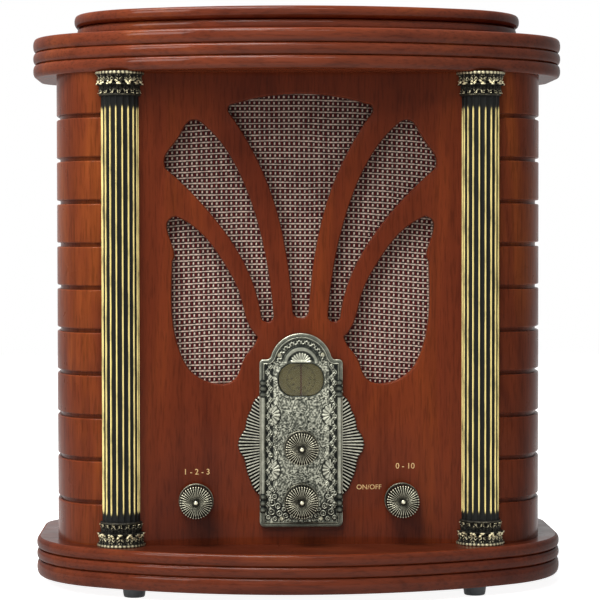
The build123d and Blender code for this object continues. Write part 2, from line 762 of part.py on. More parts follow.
cone_edges = [Line(*pair) for pair in zip(cone_points, cone_points[1:] + cone_points[:1])]
cone = Pos(0, baffle_back, speaker_z) * revolve(make_face(cone_edges), Axis.Y, 360)
save(cone, "speaker_cone")
speaker_screws = [
    screw(x, baffle_back + 1.2, z, TO_BACK, 2.8, 1.7, wood_screw_r, 6.0) for x, z in speaker_screws_at
]
save(Compound(children=speaker_screws), "speaker_screws")


# Glue blocks, rear cleats and the slotted rear panel

blocks = []
cleat_front = body_back - 4.0 - 10.0
for sx in (-1, 1):
    x0, x1 = sorted((sx * (column_x - 10.0), sx * column_x))
    lower_block = box(x0, x1, panel_back, panel_back + 10.0, z_body, 102.0)
    blocks.append(lower_block)
    x0, x1 = sorted((sx * (body_half_width - side_wall - 10.0), sx * (body_half_width - side_wall)))
    blocks.append(box(x0, x1, cleat_front, cleat_front + 10.0, z_body, z_cornice))
baffle_pads = []
for sx in (-1, 1):
    x0, x1 = sorted((sx * 91.0, sx * 100.0))
    baffle_pads.append(box(x0, x1, panel_back, baffle_front, 106, 288))
save(Compound(children=blocks + baffle_pads), "glue_blocks")

rear_half = body_half_width - side_wall
rear_front = cleat_front + 10.0
rear_back = rear_front + 3.0
rear = box(-rear_half, rear_half, rear_front, rear_back, z_body, z_cornice)
slot_rows = 7
slot_step = 11.0
slot_outline = SlotOverall(50.0, 3.6)
for column in (-1, 0, 1):
    for row in range(slot_rows):
        at = Pos(column * 60.0, (rear_front + rear_back) / 2, 150.0 + row * slot_step)
        rear = rear - at * Rot(90, 0, 0) * extrude(slot_outline, 8, both=True)
gland_x = 88.0
gland_z = 58.0
gland_seat_r = 6.0
rear = rear - rod_y(gland_x, gland_z, gland_seat_r, rear_front - 1, rear_back + 1)
rear_screws_at = [(sx * (rear_half - 5.0), z) for sx in (-1, 1) for z in (44.0, 160.0, 276.0)]
for x, z in rear_screws_at:
    rear = rear - rod_y(x, z, wood_screw_r, rear_front - 1, rear_back + 1)
save(rear, "rear_panel")
rear_screws = []
for x, z in rear_screws_at:
    rear_screws.append(screw(x, rear_back, z, TO_BACK, 2.9, 1.7, wood_screw_r, 3.0))
save(Compound(children=rear_screws), "rear_screws")
gland_bore_r = 3.2
gland = rod_y(gland_x, gland_z, 8.2, rear_back, rear_back + 2.4)
gland = fillet(gland.edges().group_by(Axis.Y)[-1], 1.0)
gland = gland + rod_y(gland_x, gland_z, gland_seat_r, rear_front - 4.0, rear_back)
gland = gland - rod_y(gland_x, gland_z, gland_bore_r, rear_front - 6, rear_back + 6)
save(gland, "cord_gland")


# Circuit board, its parts, the aerial and the mains transformer

board_z = z_body + 8.0
board = box(-62, 62, -18, 44, board_z, board_z + 1.6)
stand_at = [(sx * 56.0, y) for sx in (-1, 1) for y in (-12.0, 38.0)]
standoff_r = 3.0
board_screw_r = 1.4
board_standoffs = []
board_screws = []
for x, y in stand_at:
    board = board - rod_z(x, y, board_screw_r, board_z - 1, board_z + 3)
    post = rod_z(x, y, standoff_r, z_body, board_z) - rod_z(x, y, board_screw_r, z_body + 1, board_z + 1)
    board_standoffs.append(post)
    board_screws.append(screw(x, y, board_z + 1.6, TO_UP, 2.7, 1.6, board_screw_r, 7.0))
save(board, "circuit_board")
save(Compound(children=board_standoffs), "board_standoffs")
save(Compound(children=board_screws), "board_screws")

board_top = board_z + 1.6
board_parts = []
cans = [(-44, 0, 5.0, 16.0), (-30, 2, 5.0, 16.0), (-44, 18, 4.0, 12.0)]
cans = cans + [(44, 4, 6.3, 20.0), (30, 0, 4.0, 11.0)]
for x, y, radius, height in cans:
    board_parts.append(rod_z(x, y, radius, board_top, board_top + height))
for x, y in ((-10, -6), (4, -6), (18, -6)):
    board_parts.append(box(x - 4, x + 4, y - 4, y + 4, board_top, board_top + 11.0))
board_parts.append(box(-14, 6, 8, 15, board_top, board_top + 3.6))
board_parts.append(box(22, 34, 14, 21, board_top, board_top + 3.6))
save(Compound(children=board_parts), "board_parts")

aerial_y = 32.0
aerial_z = board_top + 12.0
aerial_r = 5.0
holders = []
for sx in (-1, 1):
    holder = box(sx * 40 - 3, sx * 40 + 3, aerial_y - 7, aerial_y + 7, board_top, aerial_z + 7)
    holders.append(holder - rod_x(aerial_y, aerial_z, aerial_r, sx * 40 - 5, sx * 40 + 5))
save(Compound(children=holders), "aerial_holders")
aerial = rod_x(aerial_y, aerial_z, aerial_r, -50, 50)
aerial = aerial + rod_x(aerial_y, aerial_z, aerial_r + 1.2, -22, 8)
save(aerial, "ferrite_aerial")

mains_x = 94.0
mains_y = 22.0
transformer = box(mains_x - 17, mains_x + 17, mains_y - 21, mains_y + 21, z_body + 1.2, z_body + 30)
winding = box(mains_x - 22, mains_x + 22, mains_y - 12, mains_y + 12, z_body + 6, z_body + 25)
transformer = transformer + fillet(winding.edges().filter_by(Axis.X), 3.0)
save(transformer, "mains_transformer")
strap = box(mains_x - 10, mains_x + 10, mains_y - 31, mains_y + 31, z_body, z_body + 1.2)
strap_screws = []
for sy in (-1, 1):
    strap = strap - rod_z(mains_x, mains_y + sy * 26.0, wood_screw_r, z_body - 1, z_body + 3)
    ear_y = mains_y + sy * 21.6
    ear = box(mains_x - 10, mains_x + 10, ear_y - 0.6, ear_y + 0.6, z_body, z_body + 29)
    strap = strap + ear
save(strap, "transformer_strap")
for sy in (-1, 1):
    head = screw(mains_x, mains_y + sy * 26.0, z_body + 1.2, TO_UP, 2.7, 1.6, wood_screw_r, 1.2)
    strap_screws.append(head)
save(Compound(children=strap_screws), "strap_screws")
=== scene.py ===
import json
from math import atan2, cos, degrees, pi, radians, sin, sqrt

import bmesh
import bpy
import numpy as np
from mathutils import Matrix, Vector


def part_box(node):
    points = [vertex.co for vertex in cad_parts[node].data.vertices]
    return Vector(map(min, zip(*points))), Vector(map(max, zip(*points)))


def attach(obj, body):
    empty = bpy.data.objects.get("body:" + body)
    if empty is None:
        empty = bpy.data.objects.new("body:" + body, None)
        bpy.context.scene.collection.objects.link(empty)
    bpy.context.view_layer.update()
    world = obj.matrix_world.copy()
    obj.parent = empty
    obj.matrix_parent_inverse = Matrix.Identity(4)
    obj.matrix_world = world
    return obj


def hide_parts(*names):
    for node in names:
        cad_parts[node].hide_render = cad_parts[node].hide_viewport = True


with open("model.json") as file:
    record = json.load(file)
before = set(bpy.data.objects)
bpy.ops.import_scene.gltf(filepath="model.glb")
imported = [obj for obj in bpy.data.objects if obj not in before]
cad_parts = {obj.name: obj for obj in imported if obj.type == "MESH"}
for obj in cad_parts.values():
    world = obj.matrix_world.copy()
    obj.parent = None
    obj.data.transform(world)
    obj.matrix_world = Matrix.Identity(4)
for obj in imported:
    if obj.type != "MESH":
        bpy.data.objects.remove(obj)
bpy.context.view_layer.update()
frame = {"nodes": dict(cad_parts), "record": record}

# Millimetres in the geometry code, metres in the meshes. +Z up, the front faces -Y.
scene = bpy.context.scene
nodes = frame["nodes"]


def mm_box(name):
    low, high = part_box(name)
    return [1000 * v for v in low], [1000 * v for v in high]


# Materials


class Nodes:
    """A node tree whose nodes are made in one short line each."""

    def __init__(self, tree):
        self.tree = tree

    def put(self, node, inputs):
        for key, value in inputs.items():
            if isinstance(value, bpy.types.NodeSocket):
                self.tree.links.new(value, node.inputs[key])
            else:
                node.inputs[key].default_value = value

    def add(self, kind, inputs=None, **settings):
        node = self.tree.nodes.new("ShaderNode" + kind)
        for key, value in settings.items():
            setattr(node, key, value)
        self.put(node, inputs or {})
        return node

    def maths(self, how, a, b):
        return self.add("Math", {0: a, 1: b}, operation=how).outputs[0]

    def seen_rays(self):
        """One for rays from the camera, off a mirror or through glass, and zero for all others."""
        rays = self.add("LightPath").outputs
        mirrored = self.maths("MAXIMUM", rays["Is Glossy Ray"], rays["Is Transmission Ray"])
        return self.maths("MAXIMUM", rays["Is Camera Ray"], mirrored)


class Shader(Nodes):
    """A new Principled material with procedural textures in object space."""

    def __init__(self, name):
        self.mat = bpy.data.materials.new(name)
        self.mat.use_nodes = True
        super().__init__(self.mat.node_tree)

    def surface(self, inputs):
        self.put(self.tree.nodes["Principled BSDF"], inputs)

    def place(self, scale=(1, 1, 1)):
        inputs = {"Vector": self.add("TexCoord").outputs["Object"], "Scale": scale}
        return self.add("Mapping", inputs).outputs["Vector"]

    def noise(self, vector, scale, detail=3.0, rough=0.55, distortion=0.0):
        inputs = {"Vector": vector, "Scale": scale, "Detail": detail, "Roughness": rough}
        return self.add("TexNoise", {**inputs, "Distortion": distortion}).outputs["Fac"]

    def ramp(self, fac, stops, smooth=False):
        node = self.add("ValToRGB", {"Fac": fac})
        node.color_ramp.interpolation = "EASE" if smooth else "LINEAR"
        parts = node.color_ramp.elements
        while len(parts) < len(stops):
            parts.new(0.5)
        for part, (where, colour) in zip(parts, stops):
            part.position = where
            part.color = (*np.broadcast_to(colour, 3), 1)
        return node.outputs["Color"]

    def tinted(self, fac, colour, tone):
        """The colour multiplied by a tone, at the strength fac."""
        inputs = {0: fac, 6: colour, 7: tone}
        return self.add("Mix", inputs, data_type="RGBA", blend_type="MULTIPLY").outputs[2]

    def bump(self, height, strength, distance):
        node = self.add("Bump", {"Height": height, "Strength": strength, "Distance": distance})
        self.surface({"Normal": node.outputs["Normal"]})


def wood(name, tones, along="z", gloss=0.34, coat=0.05, shift=0.0, specular=0.07):
    """Lacquered veneer: broad figure, grain bands, short dark pores and a clear coat."""
    s = Shader(name)

    def stretched(share):
        return s.place((share, 1, 1) if along == "x" else (1, 1, share))

    place = stretched(0.2)
    if shift:
        place = s.add("VectorMath", {0: place, 1: (shift, shift, 0)}, operation="ADD").outputs[0]
    figure = s.noise(place, 22.0, 4.0, 0.6, 0.8)
    bands = s.noise(stretched(0.028), 190.0, 5.0, 0.62, 0.25)
    pores = s.noise(stretched(0.09), 820.0, 2.0, 0.6)
    mottle = s.noise(s.place(), 75.0, 3.0, 0.6, 0.4)
    colour = s.ramp(figure, list(zip((0.3, 0.52, 0.74), tones)), True)
    colour = s.tinted(0.5, colour, s.ramp(bands, [(0.32, 0.6), (0.52, 1.0), (0.72, 1.22)]))
    colour = s.tinted(0.42, colour, s.ramp(pores, [(0.36, 0.42), (0.5, 1.0)]))
    s.surface({
        "Base Color": s.tinted(0.15, colour, s.ramp(mottle, [(0.35, 0.75), (0.65, 1.2)])),
        "Roughness": s.ramp(mottle, [(0.3, gloss - 0.03), (0.7, gloss + 0.07)]),
        "Coat Weight": coat,
        "Coat Roughness": 0.07,
        "Specular IOR Level": specular,
    })
    s.bump(pores, 0.22, 0.00012)
    return s.mat


def metal(name, tones, rough=0.36, metallic=0.9, pitch=420.0, bump=0.25):
    """Aged metal: dark in the hollows, worn bright on the ridges, finely pitted; on some pieces the relief
    attribute also carries painted highlights.
    """
    s = Shader(name)
    grains = s.noise(s.place(), pitch, 3.0, 0.6)
    patches = s.noise(s.place(), 60.0, 2.0, 0.5, 0.3)
    level = s.add("Attribute", attribute_name="relief").outputs["Fac"]
    for speckle, share in ((patches, 0.22), (grains, 0.4)):
        level = s.maths("ADD", level, s.maths("MULTIPLY", s.maths("SUBTRACT", speckle, 0.5), share))
    s.surface({
        "Base Color": s.ramp(level, list(zip((0.06, 0.42, 0.95), tones))),
        "Metallic": metallic,
        "Roughness": s.ramp(level, [(0.1, rough + 0.25), (0.8, rough)]),
        "Specular IOR Level": 0.3,
    })
    s.bump(grains, bump, 0.00015)
    return s.mat


def plain(name, base, rough=0.5, metallic=0.0, scale=300.0, vary=0.25, bump=0.15, coat=0.0):
    """A moulded, pressed or plated finish with fine variation of colour and gloss."""
    s = Shader(name)
    grains = s.noise(s.place(), scale, 4.0, 0.6)
    broad = s.noise(s.place(), scale / 12, 3.0, 0.6)
    low = tuple(c * (1 - vary) for c in base)
    high = tuple(min(1.0, c * (1 + vary)) for c in base)
    colour = s.ramp(broad, [(0.3, low), (0.7, high)])
    s.surface({
        "Base Color": s.tinted(0.35, colour, s.ramp(grains, [(0.3, 0.7), (0.7, 1.15)])),
        "Roughness": s.ramp(grains, [(0.3, max(0.05, rough - 0.08)), (0.7, min(1.0, rough + 0.1))]),
        "Metallic": metallic,
        "Coat Weight": coat,
    })
    s.bump(grains, bump, 0.0001)
    return s.mat


def boarded(name, base, scale=(0.05, 1, 1)):
    """Unlacquered board with plain straight grain."""
    s = Shader(name)
    grain = s.noise(s.place(scale), 260.0, 4.0, 0.6, 0.3)
    colour = s.ramp(grain, [(0.3, tuple(c * 0.6 for c in base)), (0.7, base)])
    s.surface({"Base Color": colour, "Roughness": 0.75})
    s.bump(grain, 0.3, 0.0002)
    return s.mat


# Meshes


def quads(rows, cols, wrap=False, base=0, flip=False):
    """Faces of a grid of rows by cols points."""
    r = np.arange(rows - 1)[:, None]
    c = np.arange(cols if wrap else cols - 1)[None, :]
    a = base + r * cols + c
    b = base + r * cols + (c + 1) % cols
    q = np.stack([a, b, b + cols, a + cols], -1).reshape(-1, 4)
    return q[:, ::-1] if flip else q


def closed(rows, cols, wrap=True):
    """Faces of a grid, then the two that close its first and last row."""
    caps = [list(range(cols))[::-1], list(range((rows - 1) * cols, rows * cols))]
    return list(quads(rows, cols, wrap)) + caps


def grid(x, y, z):
    """Points from arrays and single numbers, in millimetres."""
    return np.stack(np.broadcast_arrays(x, y, z), -1)


def placed(name, mesh, mat, body):
    """An object of a finished mesh, riding on a body."""
    mesh.materials.append(mat)
    ob = bpy.data.objects.new(name, mesh)
    scene.collection.objects.link(ob)
    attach(ob, body)
    return ob


def piece(
    name, points, faces, mat, slot, node=None, body="cabinet", sharp=60, relief=None, flat=(), fix=False,
):
    """A mesh object from rows of points, in the place of a CAD node where one is named."""
    mesh = bpy.data.meshes.new(name)
    points = np.reshape(points, (-1, 3)) * 0.001
    mesh.from_pydata(points.tolist(), [], [[int(i) for i in f] for f in faces])
    if relief is not None:
        layer = mesh.attributes.new("relief", "FLOAT", "POINT")
        layer.data.foreach_set("value", np.asarray(relief, np.float32).ravel())
    if fix:
        work = bmesh.new()
        work.from_mesh(mesh)
        bmesh.ops.recalc_face_normals(work, faces=work.faces)
        work.to_mesh(mesh)
        work.free()
    rounded = np.ones(len(mesh.polygons), bool)
    rounded[np.array(flat, int)] = False
    mesh.polygons.foreach_set("use_smooth", rounded)
    mesh.set_sharp_from_angle(angle=radians(sharp))
    mesh.update()
    ob = placed(name, mesh, mat, body)
    if node:
        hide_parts(node)
    return ob


def lathe(profile, centre, axis, count):
    """Rings of (radius, distance along axis) about a centre. Returns points and faces."""
    a = np.linspace(0, 2 * pi, count, endpoint=False)
    points = np.concatenate([grid(r * np.cos(a), r * np.sin(a), d) for r, d in profile])
    if axis == "y":
        points = points[:, [0, 2, 1]]
    return points + centre, quads(len(profile), count, True)


def joined(parts):
    points, faces = [], []
    for p, f in parts:
        faces += list(f + sum(len(q) for q in points))
        points.append(p)
    return np.concatenate(points), faces


def smooth(a, b, v):
    t = np.clip((v - a) / (b - a), 0, 1)
    return t * t * (3 - 2 * t)


def bell(distance, width):
    """One in the middle, falling smoothly to either side."""
    return np.exp(-(distance / width) ** 2)


def highest(*fields):
    return np.maximum.reduce(fields)


def dome(v, power=2):
    """One in the middle, falling to zero where v reaches one."""
    return np.clip(1 - np.abs(v) ** power, 0, 1)


def clouds(x, z, cell, seed):
    """Smooth noise from 0 to 1 over arrays of points, with the given cell."""
    table = np.random.default_rng(seed).random((256, 256))
    u, v = x / cell, z / cell
    i, j = np.floor(u).astype(int), np.floor(v).astype(int)
    fu, fv = smooth(0, 1, u - i), smooth(0, 1, v - j)

    def edge(dj):
        return table[i % 256, (j + dj) % 256] * (1 - fu) + table[(i + 1) % 256, (j + dj) % 256] * fu

    return edge(0) * (1 - fv) + edge(1) * fv


# Outlines as closed loops of (x, z) points


def cad_loops(name, y):
    """Closed outlines of a CAD node's flat face at depth y."""
    mesh = nodes[name].data
    keys = {}
    ids = [keys.setdefault(tuple(round(1000 * c, 2) for c in v.co), len(keys)) for v in mesh.vertices]
    spots = list(keys)
    seen = {}
    for poly in mesh.polygons:
        corner = [ids[i] for i in poly.vertices]
        if len(set(corner)) < 3 or any(abs(spots[i][1] - y) > 0.02 for i in corner):
            continue
        for a, b in zip(corner, corner[1:] + corner[:1]):
            key = (min(a, b), max(a, b))
            seen[key] = seen.get(key, 0) + 1
    follow = {}
    for (a, b), count in seen.items():
        if count == 1:
            follow.setdefault(a, []).append(b)
            follow.setdefault(b, []).append(a)
    loops = []
    left = set(follow)
    while left:
        start = here = left.pop()
        loop, before = [start], None
        while True:
            onward = [n for n in follow[here] if n != before and (n in left or n == start)]
            if not onward or onward[0] == start:
                break
            before, here = here, onward[0]
            left.discard(here)
            loop.append(here)
        if len(loop) > 2:
            loops.append(np.array([(spots[i][0], spots[i][2]) for i in loop]))
    return loops


def turned(loop):
    """The loop running counterclockwise seen from the front."""
    x, z = loop[:, 0], loop[:, 1]
    area = 0.5 * np.sum(x * np.roll(z, -1) - np.roll(x, -1) * z)
    return loop if area > 0 else loop[::-1]


def respaced(loop, step):
    """Points at even distances, keeping sharp corners."""
    loop = turned(loop)
    edges = np.roll(loop, -1, 0) - loop
    keep = np.hypot(*edges.T) > 1e-6
    loop, edges = loop[keep], edges[keep]
    n = len(loop)
    heading = np.arctan2(edges[:, 1], edges[:, 0])
    bend = np.abs((heading - np.roll(heading, 1) + pi) % (2 * pi) - pi)
    corners = [i for i in range(n) if bend[i] > radians(35)] or [0]
    out = []
    for a, b in zip(corners, corners[1:] + [corners[0] + n]):
        run = loop[np.arange(a, b + 1) % n]
        travel = np.concatenate([[0], np.cumsum(np.hypot(*np.diff(run, axis=0).T))])
        count = max(1, int(round(travel[-1] / step)))
        at = np.linspace(0, travel[-1], count + 1)[:-1]
        out.append(np.stack([np.interp(at, travel, along) for along in run.T], 1))
    return np.concatenate(out)


def outward(loop):
    """Normals of a counterclockwise loop, pointing out of it and longer at corners."""
    sides = []
    for edge in (np.roll(loop, -1, 0) - loop, loop - np.roll(loop, 1, 0)):
        edge = edge / (np.hypot(*edge.T)[:, None] + 1e-12)
        sides.append(np.stack([edge[:, 1], -edge[:, 0]], 1))
    n = sides[0] + sides[1]
    n /= np.hypot(*n.T)[:, None] + 1e-12
    miter = np.clip((n * sides[0]).sum(1), 0.5, 1)
    return n / miter[:, None]


def corner_arc(cx, cz, radius, start, end, count=8):
    turns = np.radians(np.linspace(start, end, count))
    return [(cx + radius * cos(a), cz + radius * sin(a)) for a in turns]


def distance_inside(x, z, loop):
    """Distance from points to a closed outline, positive inside it."""
    px, pz = x.ravel(), z.ravel()
    best = np.full(px.shape, 1e9)
    crossings = np.zeros(px.shape, int)
    for (ax, az), (dx, dz) in zip(loop, np.roll(loop, -1, 0) - loop):
        t = np.clip(((px - ax) * dx + (pz - az) * dz) / (dx * dx + dz * dz + 1e-12), 0, 1)
        best = np.minimum(best, np.hypot(px - ax - t * dx, pz - az - t * dz))
        if dz != 0:
            crossings += ((az > pz) != (az + dz > pz)) & (px < ax + (pz - az) / dz * dx)
    return np.where(crossings % 2 == 1, best, -best).reshape(x.shape)


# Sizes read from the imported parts

plinth_lo, plinth_hi = mm_box("plinth")
cornice_lo, cornice_hi = mm_box("cornice")
cap_lo, cap_hi = mm_box("top_cap")
panel_lo, panel_hi = mm_box("front_panel")
side_lo, side_hi = mm_box("cabinet_side_right")
panel_y, panel_back = panel_lo[1], panel_hi[1]
z_body, z_cornice = plinth_hi[2], cornice_lo[2]
column_x = side_lo[0]

# Finishes

wood_panel = wood(
    "veneer_front", [(0.098, 0.0165, 0.006), (0.132, 0.0235, 0.0078), (0.185, 0.036, 0.009)],
    gloss=0.32, coat=0.06, specular=0.04,
)
wood_side = wood(
    "veneer_side", [(0.072, 0.0135, 0.006), (0.138, 0.028, 0.0105), (0.23, 0.053, 0.013)],
    gloss=0.28, shift=0.37, specular=0.02,
)
wood_trim = wood(
    "lacquered_moulding", [(0.105, 0.0195, 0.0075), (0.15, 0.03, 0.011), (0.225, 0.05, 0.012)],
    along="x", gloss=0.2, coat=0.24, specular=0.0,
)
# The plinth's wood is the moulding's lacquered wood made about 0.82 as dark: painted shade on the low plinth.
plinth_wood_painted_shade = wood(
    "lacquered_plinth_painted_shade", [(0.085, 0.015, 0.0058), (0.122, 0.0235, 0.0085), (0.185, 0.04, 0.0095)],
    along="x", gloss=0.2, coat=0.2, shift=0.11, specular=0.0,
)
# The plinth's top face gets a much darker copy, warm tone 0.090 against the trim's 0.225: painted shade, in
# part a darker finish.
painted_shade_ledge_wood = wood(
    "painted_shade_ledge", [(0.04, 0.0075, 0.0035), (0.062, 0.012, 0.005), (0.09, 0.019, 0.007)],
    along="x", gloss=0.3, coat=0.04,
)
brass = metal("aged_brass", [(0.01, 0.012, 0.011), (0.096, 0.101, 0.08), (0.5, 0.5, 0.4)])
brass_wing = metal("aged_brass_wing", [(0.006, 0.006, 0.005), (0.018, 0.019, 0.016), (0.52, 0.51, 0.41)])
brass_knob = metal("aged_brass_knob", [(0.007, 0.007, 0.006), (0.036, 0.035, 0.026), (0.58, 0.56, 0.42)], 0.34)
gilt = metal(
    "rubbed_gilt", [(0.004, 0.0045, 0.004), (0.032, 0.027, 0.013), (0.9, 0.74, 0.29)],
    rough=0.42, metallic=0.45, pitch=300.0, bump=0.2,
)
gilt_leaf = metal(
    "rubbed_gilt_leaf", [(0.005, 0.005, 0.0045), (0.028, 0.026, 0.018), (0.8, 0.72, 0.46)],
    rough=0.4, metallic=0.65, pitch=300.0, bump=0.2,
)


# Stepped and bowed mouldings

bow, bow_end, rear_corner = 225.0, 70.0, 30.0
bead_depth, bead_power, bead_steps = 2.1, 2.15, 16
cap_inset, edge_inset = 5.0, 0.7


def bow_plan(low, high, end=bow_end, rear=rear_corner, step=2.4):
    """Points and outward normals of the bowed outline, counterclockwise from the front middle."""
    half, back = high[0], high[1]
    bow_y = low[1] + bow
    reach = half - end
    drop = sqrt((bow - end) ** 2 - reach ** 2)
    end_y = bow_y - drop
    join = atan2(-drop, reach)
    spots, normals = [], []

    def arc(cx, cy, radius, a0, a1):
        count = max(2, int(radius * abs(a1 - a0) / step))
        for k in range(count):
            a = a0 + (a1 - a0) * k / count
            spots.append((cx + radius * cos(a), cy + radius * sin(a)))
            normals.append((cos(a), sin(a)))

    def run(p, q, n):
        count = max(1, int(sqrt((q[0] - p[0]) ** 2 + (q[1] - p[1]) ** 2) / 6))
        for k in range(count):
            spots.append((p[0] + (q[0] - p[0]) * k / count, p[1] + (q[1] - p[1]) * k / count))
            normals.append(n)

    arc(0, bow_y, bow, -pi / 2, join)
    arc(reach, end_y, end, join, 0)
    run((half, end_y), (half, back - rear), (1, 0))
    arc(half - rear, back - rear, rear, 0, pi / 2)
    run((half - rear, back), (0, back), (0, 1))
    right, right_n = np.array(spots), np.array(normals)
    left = np.concatenate([[[0, back]], right[1:][::-1] * (-1, 1)])
    left_n = np.concatenate([[[0, 1]], right_n[1:][::-1] * (-1, 1)])
    return np.concatenate([right, left]), np.concatenate([right_n, left_n])


def bead_rows(beads, low):
    """Rows of (inset, z) up a stack of round beads, each given by its height and inset."""
    rows = []
    z = low
    for height, inset in beads:
        for k in range(bead_steps + 1):
            rise = 0.5 - 0.5 * cos(pi * k / bead_steps)
            swell = (1 - abs(2 * rise - 1) ** bead_power) ** (1 / bead_power)
            rows.append((inset + bead_depth * (1 - swell), z + rise * height))
        z += height
    return rows


def moulding(name, node, plan, rows, mat):
    spots, normals = plan
    n = len(spots)
    z_low, z_high = rows[0][1], rows[-1][1]
    rows = [(rows[0][0] + grow, z_low) for grow in (cap_inset, edge_inset)] + rows
    rows = rows + [(rows[-1][0] + grow, z_high) for grow in (edge_inset, cap_inset)]
    points = [grid(*(spots - normals * inset).T, z) for inset, z in rows]
    flat = np.r_[:n, -n - 2:0]
    return piece(name, points, closed(len(rows), n), mat, "lacquered_wood", node, sharp=50, flat=flat)


plinth = moulding(
    "plinth_moulding", "plinth", bow_plan(plinth_lo, plinth_hi),
    bead_rows([(9.0, 0.0), (6.3, 0.0), (6.7, 0.0)], plinth_lo[2]), plinth_wood_painted_shade,
)
# Painted shade: the plinth's upward top face takes the darker copy.
plinth.data.materials.append(painted_shade_ledge_wood)
for face in plinth.data.polygons:
    if face.normal.z > 0.9 and face.center.z > plinth_hi[2] * 0.001 - 1e-5:
        face.material_index = 1
moulding(
    "cornice_moulding", "cornice", bow_plan(cornice_lo, cornice_hi),
    bead_rows([(7.6, 0.0), (6.8, 0.0), (8.0, 0.0)], cornice_lo[2]), wood_trim,
)
moulding(
    "cap_moulding", "top_cap", bow_plan(cap_lo, cap_hi, 60.0, 22.0),
    bead_rows([(6.9, 1.6), (7.0, 0.0)], cap_lo[2]), wood_trim,
)


# Grooved sides with their round front corners

corner_run, corner_depth, wall, rear_round = 28.0, 46.0, 11.0, 9.0
half, side_back = side_hi[0], side_hi[1]
side_x, side_y = half - corner_run, panel_y + corner_depth
rear_x, rear_y = half - rear_round, side_back - rear_round

# Rows of x, y, the outward normal and the share of the groove's depth
plan = [(column_x + (side_x - column_x) * k / 5, panel_y, 0, -1, 1) for k in range(5)]
for a in np.linspace(-pi / 2, 0, 42)[:-1]:
    nx, ny = cos(a) / corner_run, sin(a) / corner_depth
    length = sqrt(nx * nx + ny * ny)
    plan.append((side_x + corner_run * cos(a), side_y + corner_depth * sin(a), nx / length, ny / length, 1))
plan += [(half, side_y + (rear_y - side_y) * k / 12, 1, 0, 1) for k in range(13)]
for k in range(1, 11):
    c, s_ = cos(pi / 2 * k / 10), sin(pi / 2 * k / 10)
    plan.append((rear_x + rear_round * c, rear_y + rear_round * s_, c, s_, max(0.0, 1 - k / 5)))
plan.append((half - wall, side_back, 0, 1, 0))
plan += [(half - wall, side_back - (side_back - side_y) * (k + 0.02) / 8.02, -1, 0, 0) for k in range(9)]
for a in np.linspace(0, -pi / 2, 17)[1:]:
    plan.append((side_x + (corner_run - wall) * cos(a), side_y + (corner_depth - wall) * sin(a), 0, 0, 0))
plan.append((column_x, panel_y + wall, 0, 0, 0))
plan = np.array(plan)

grooves = 10
course = (z_cornice - z_body) / (grooves + 1)
groove_side = [(2.0, 0.0), (1.62, 0.05), (1.32, 0.22), (1.14, 0.55), (1.08, 1.1), (1.05, 1.95), (0.6, 2.0)]
groove_shape = [(-dz, depth) for dz, depth in groove_side] + groove_side[::-1]
levels = [(z_body, 0.0)]
for k in range(1, grooves + 1):
    levels.append((z_body + (k - 0.5) * course, 0.0))
    levels += [(z_body + k * course + dz, depth) for dz, depth in groove_shape]
levels += [(z_cornice - course / 2, 0.0), (z_cornice, 0.0)]
for sx, label in ((1, "right"), (-1, "left")):
    rows = []
    for z, depth in levels:
        x, y = (plan[:, :2] - plan[:, 2:4] * plan[:, 4:] * depth).T
        rows.append(grid(x * sx, y, z))
    faces = quads(len(levels), len(plan), True, flip=sx < 0)
    name = "cabinet_side_" + label
    piece("grooved_side_" + label, rows, faces, wood_side, "lacquered_wood", name, sharp=42)


# Front panel with softened petal edges

edge_round, smallest_petal = 0.9, 4.0
loops = [turned(loop) for loop in cad_loops("front_panel", panel_y)]
loops.sort(key=lambda loop: -np.ptp(loop[:, 0]) * np.ptp(loop[:, 1]))
outer, petals = loops[0], [loop for loop in loops[1:] if np.ptp(loop[:, 0]) > smallest_petal]
points = [(x, y, z) for y in (panel_y, panel_back) for x, z in outer]
n = len(outer)
faces = [[i, (i + 1) % n, n + (i + 1) % n, n + i] for i in range(n)]
front_rims, back_rims = [list(range(n))], [list(range(n, 2 * n))]
rows = [
    (edge_round * (1 - sin(a)), panel_y + edge_round * (1 - cos(a))) for a in np.linspace(0, pi / 2, 7)
] + [(0.0, panel_back)]
for petal in petals:
    petal = respaced(petal, 1.1)
    normal = outward(petal)
    base, m = len(points), len(petal)
    for grow, y in rows:
        points += [(x, y, z) for x, z in petal + normal * grow]
    faces += list(quads(len(rows), m, True, base))
    front_rims.append(list(range(base, base + m)))
    back_rims.append(list(range(base + (len(rows) - 1) * m, base + len(rows) * m)))
curved = len(faces)
work = bmesh.new()
made = [work.verts.new(p) for p in points]
work.verts.index_update()
for rims in (front_rims, back_rims):
    edges = []
    for rim in rims:
        edges += [work.edges.new((made[a], made[b])) for a, b in zip(rim, rim[1:] + rim[:1])]
    filled = bmesh.ops.triangle_fill(work, use_beauty=True, edges=edges)["geom"]
    faces += [[v.index for v in f.verts] for f in filled if isinstance(f, bmesh.types.BMFace)]
work.free()
flat = np.r_[:n, curved:len(faces)]
piece(
    "pierced_front", points, faces, wood_panel, "lacquered_wood", "front_panel",
    sharp=50, flat=flat, fix=True,
)


# Woven grille cloth: light threads both ways over dark red and black ones

cloth_lo, cloth_hi = mm_box("grille_cloth")
weft_pitch, warp_pitch, cell = 3.3, 2.75, 0.36
notch_half, notch_top = 24.9, 148.8
light_thread, red_thread, black_thread = (0.78, 0.61, 0.5), (0.12, 0.008, 0.01), (0.014, 0.01, 0.01)
top_shade, shade_from, shade_to = 0.2, 165.0, 275.0
xs, zs = (np.linspace(cloth_lo[i], cloth_hi[i], int((cloth_hi[i] - cloth_lo[i]) / cell) + 1) for i in (0, 2))
X, Z = np.meshgrid(xs, zs)

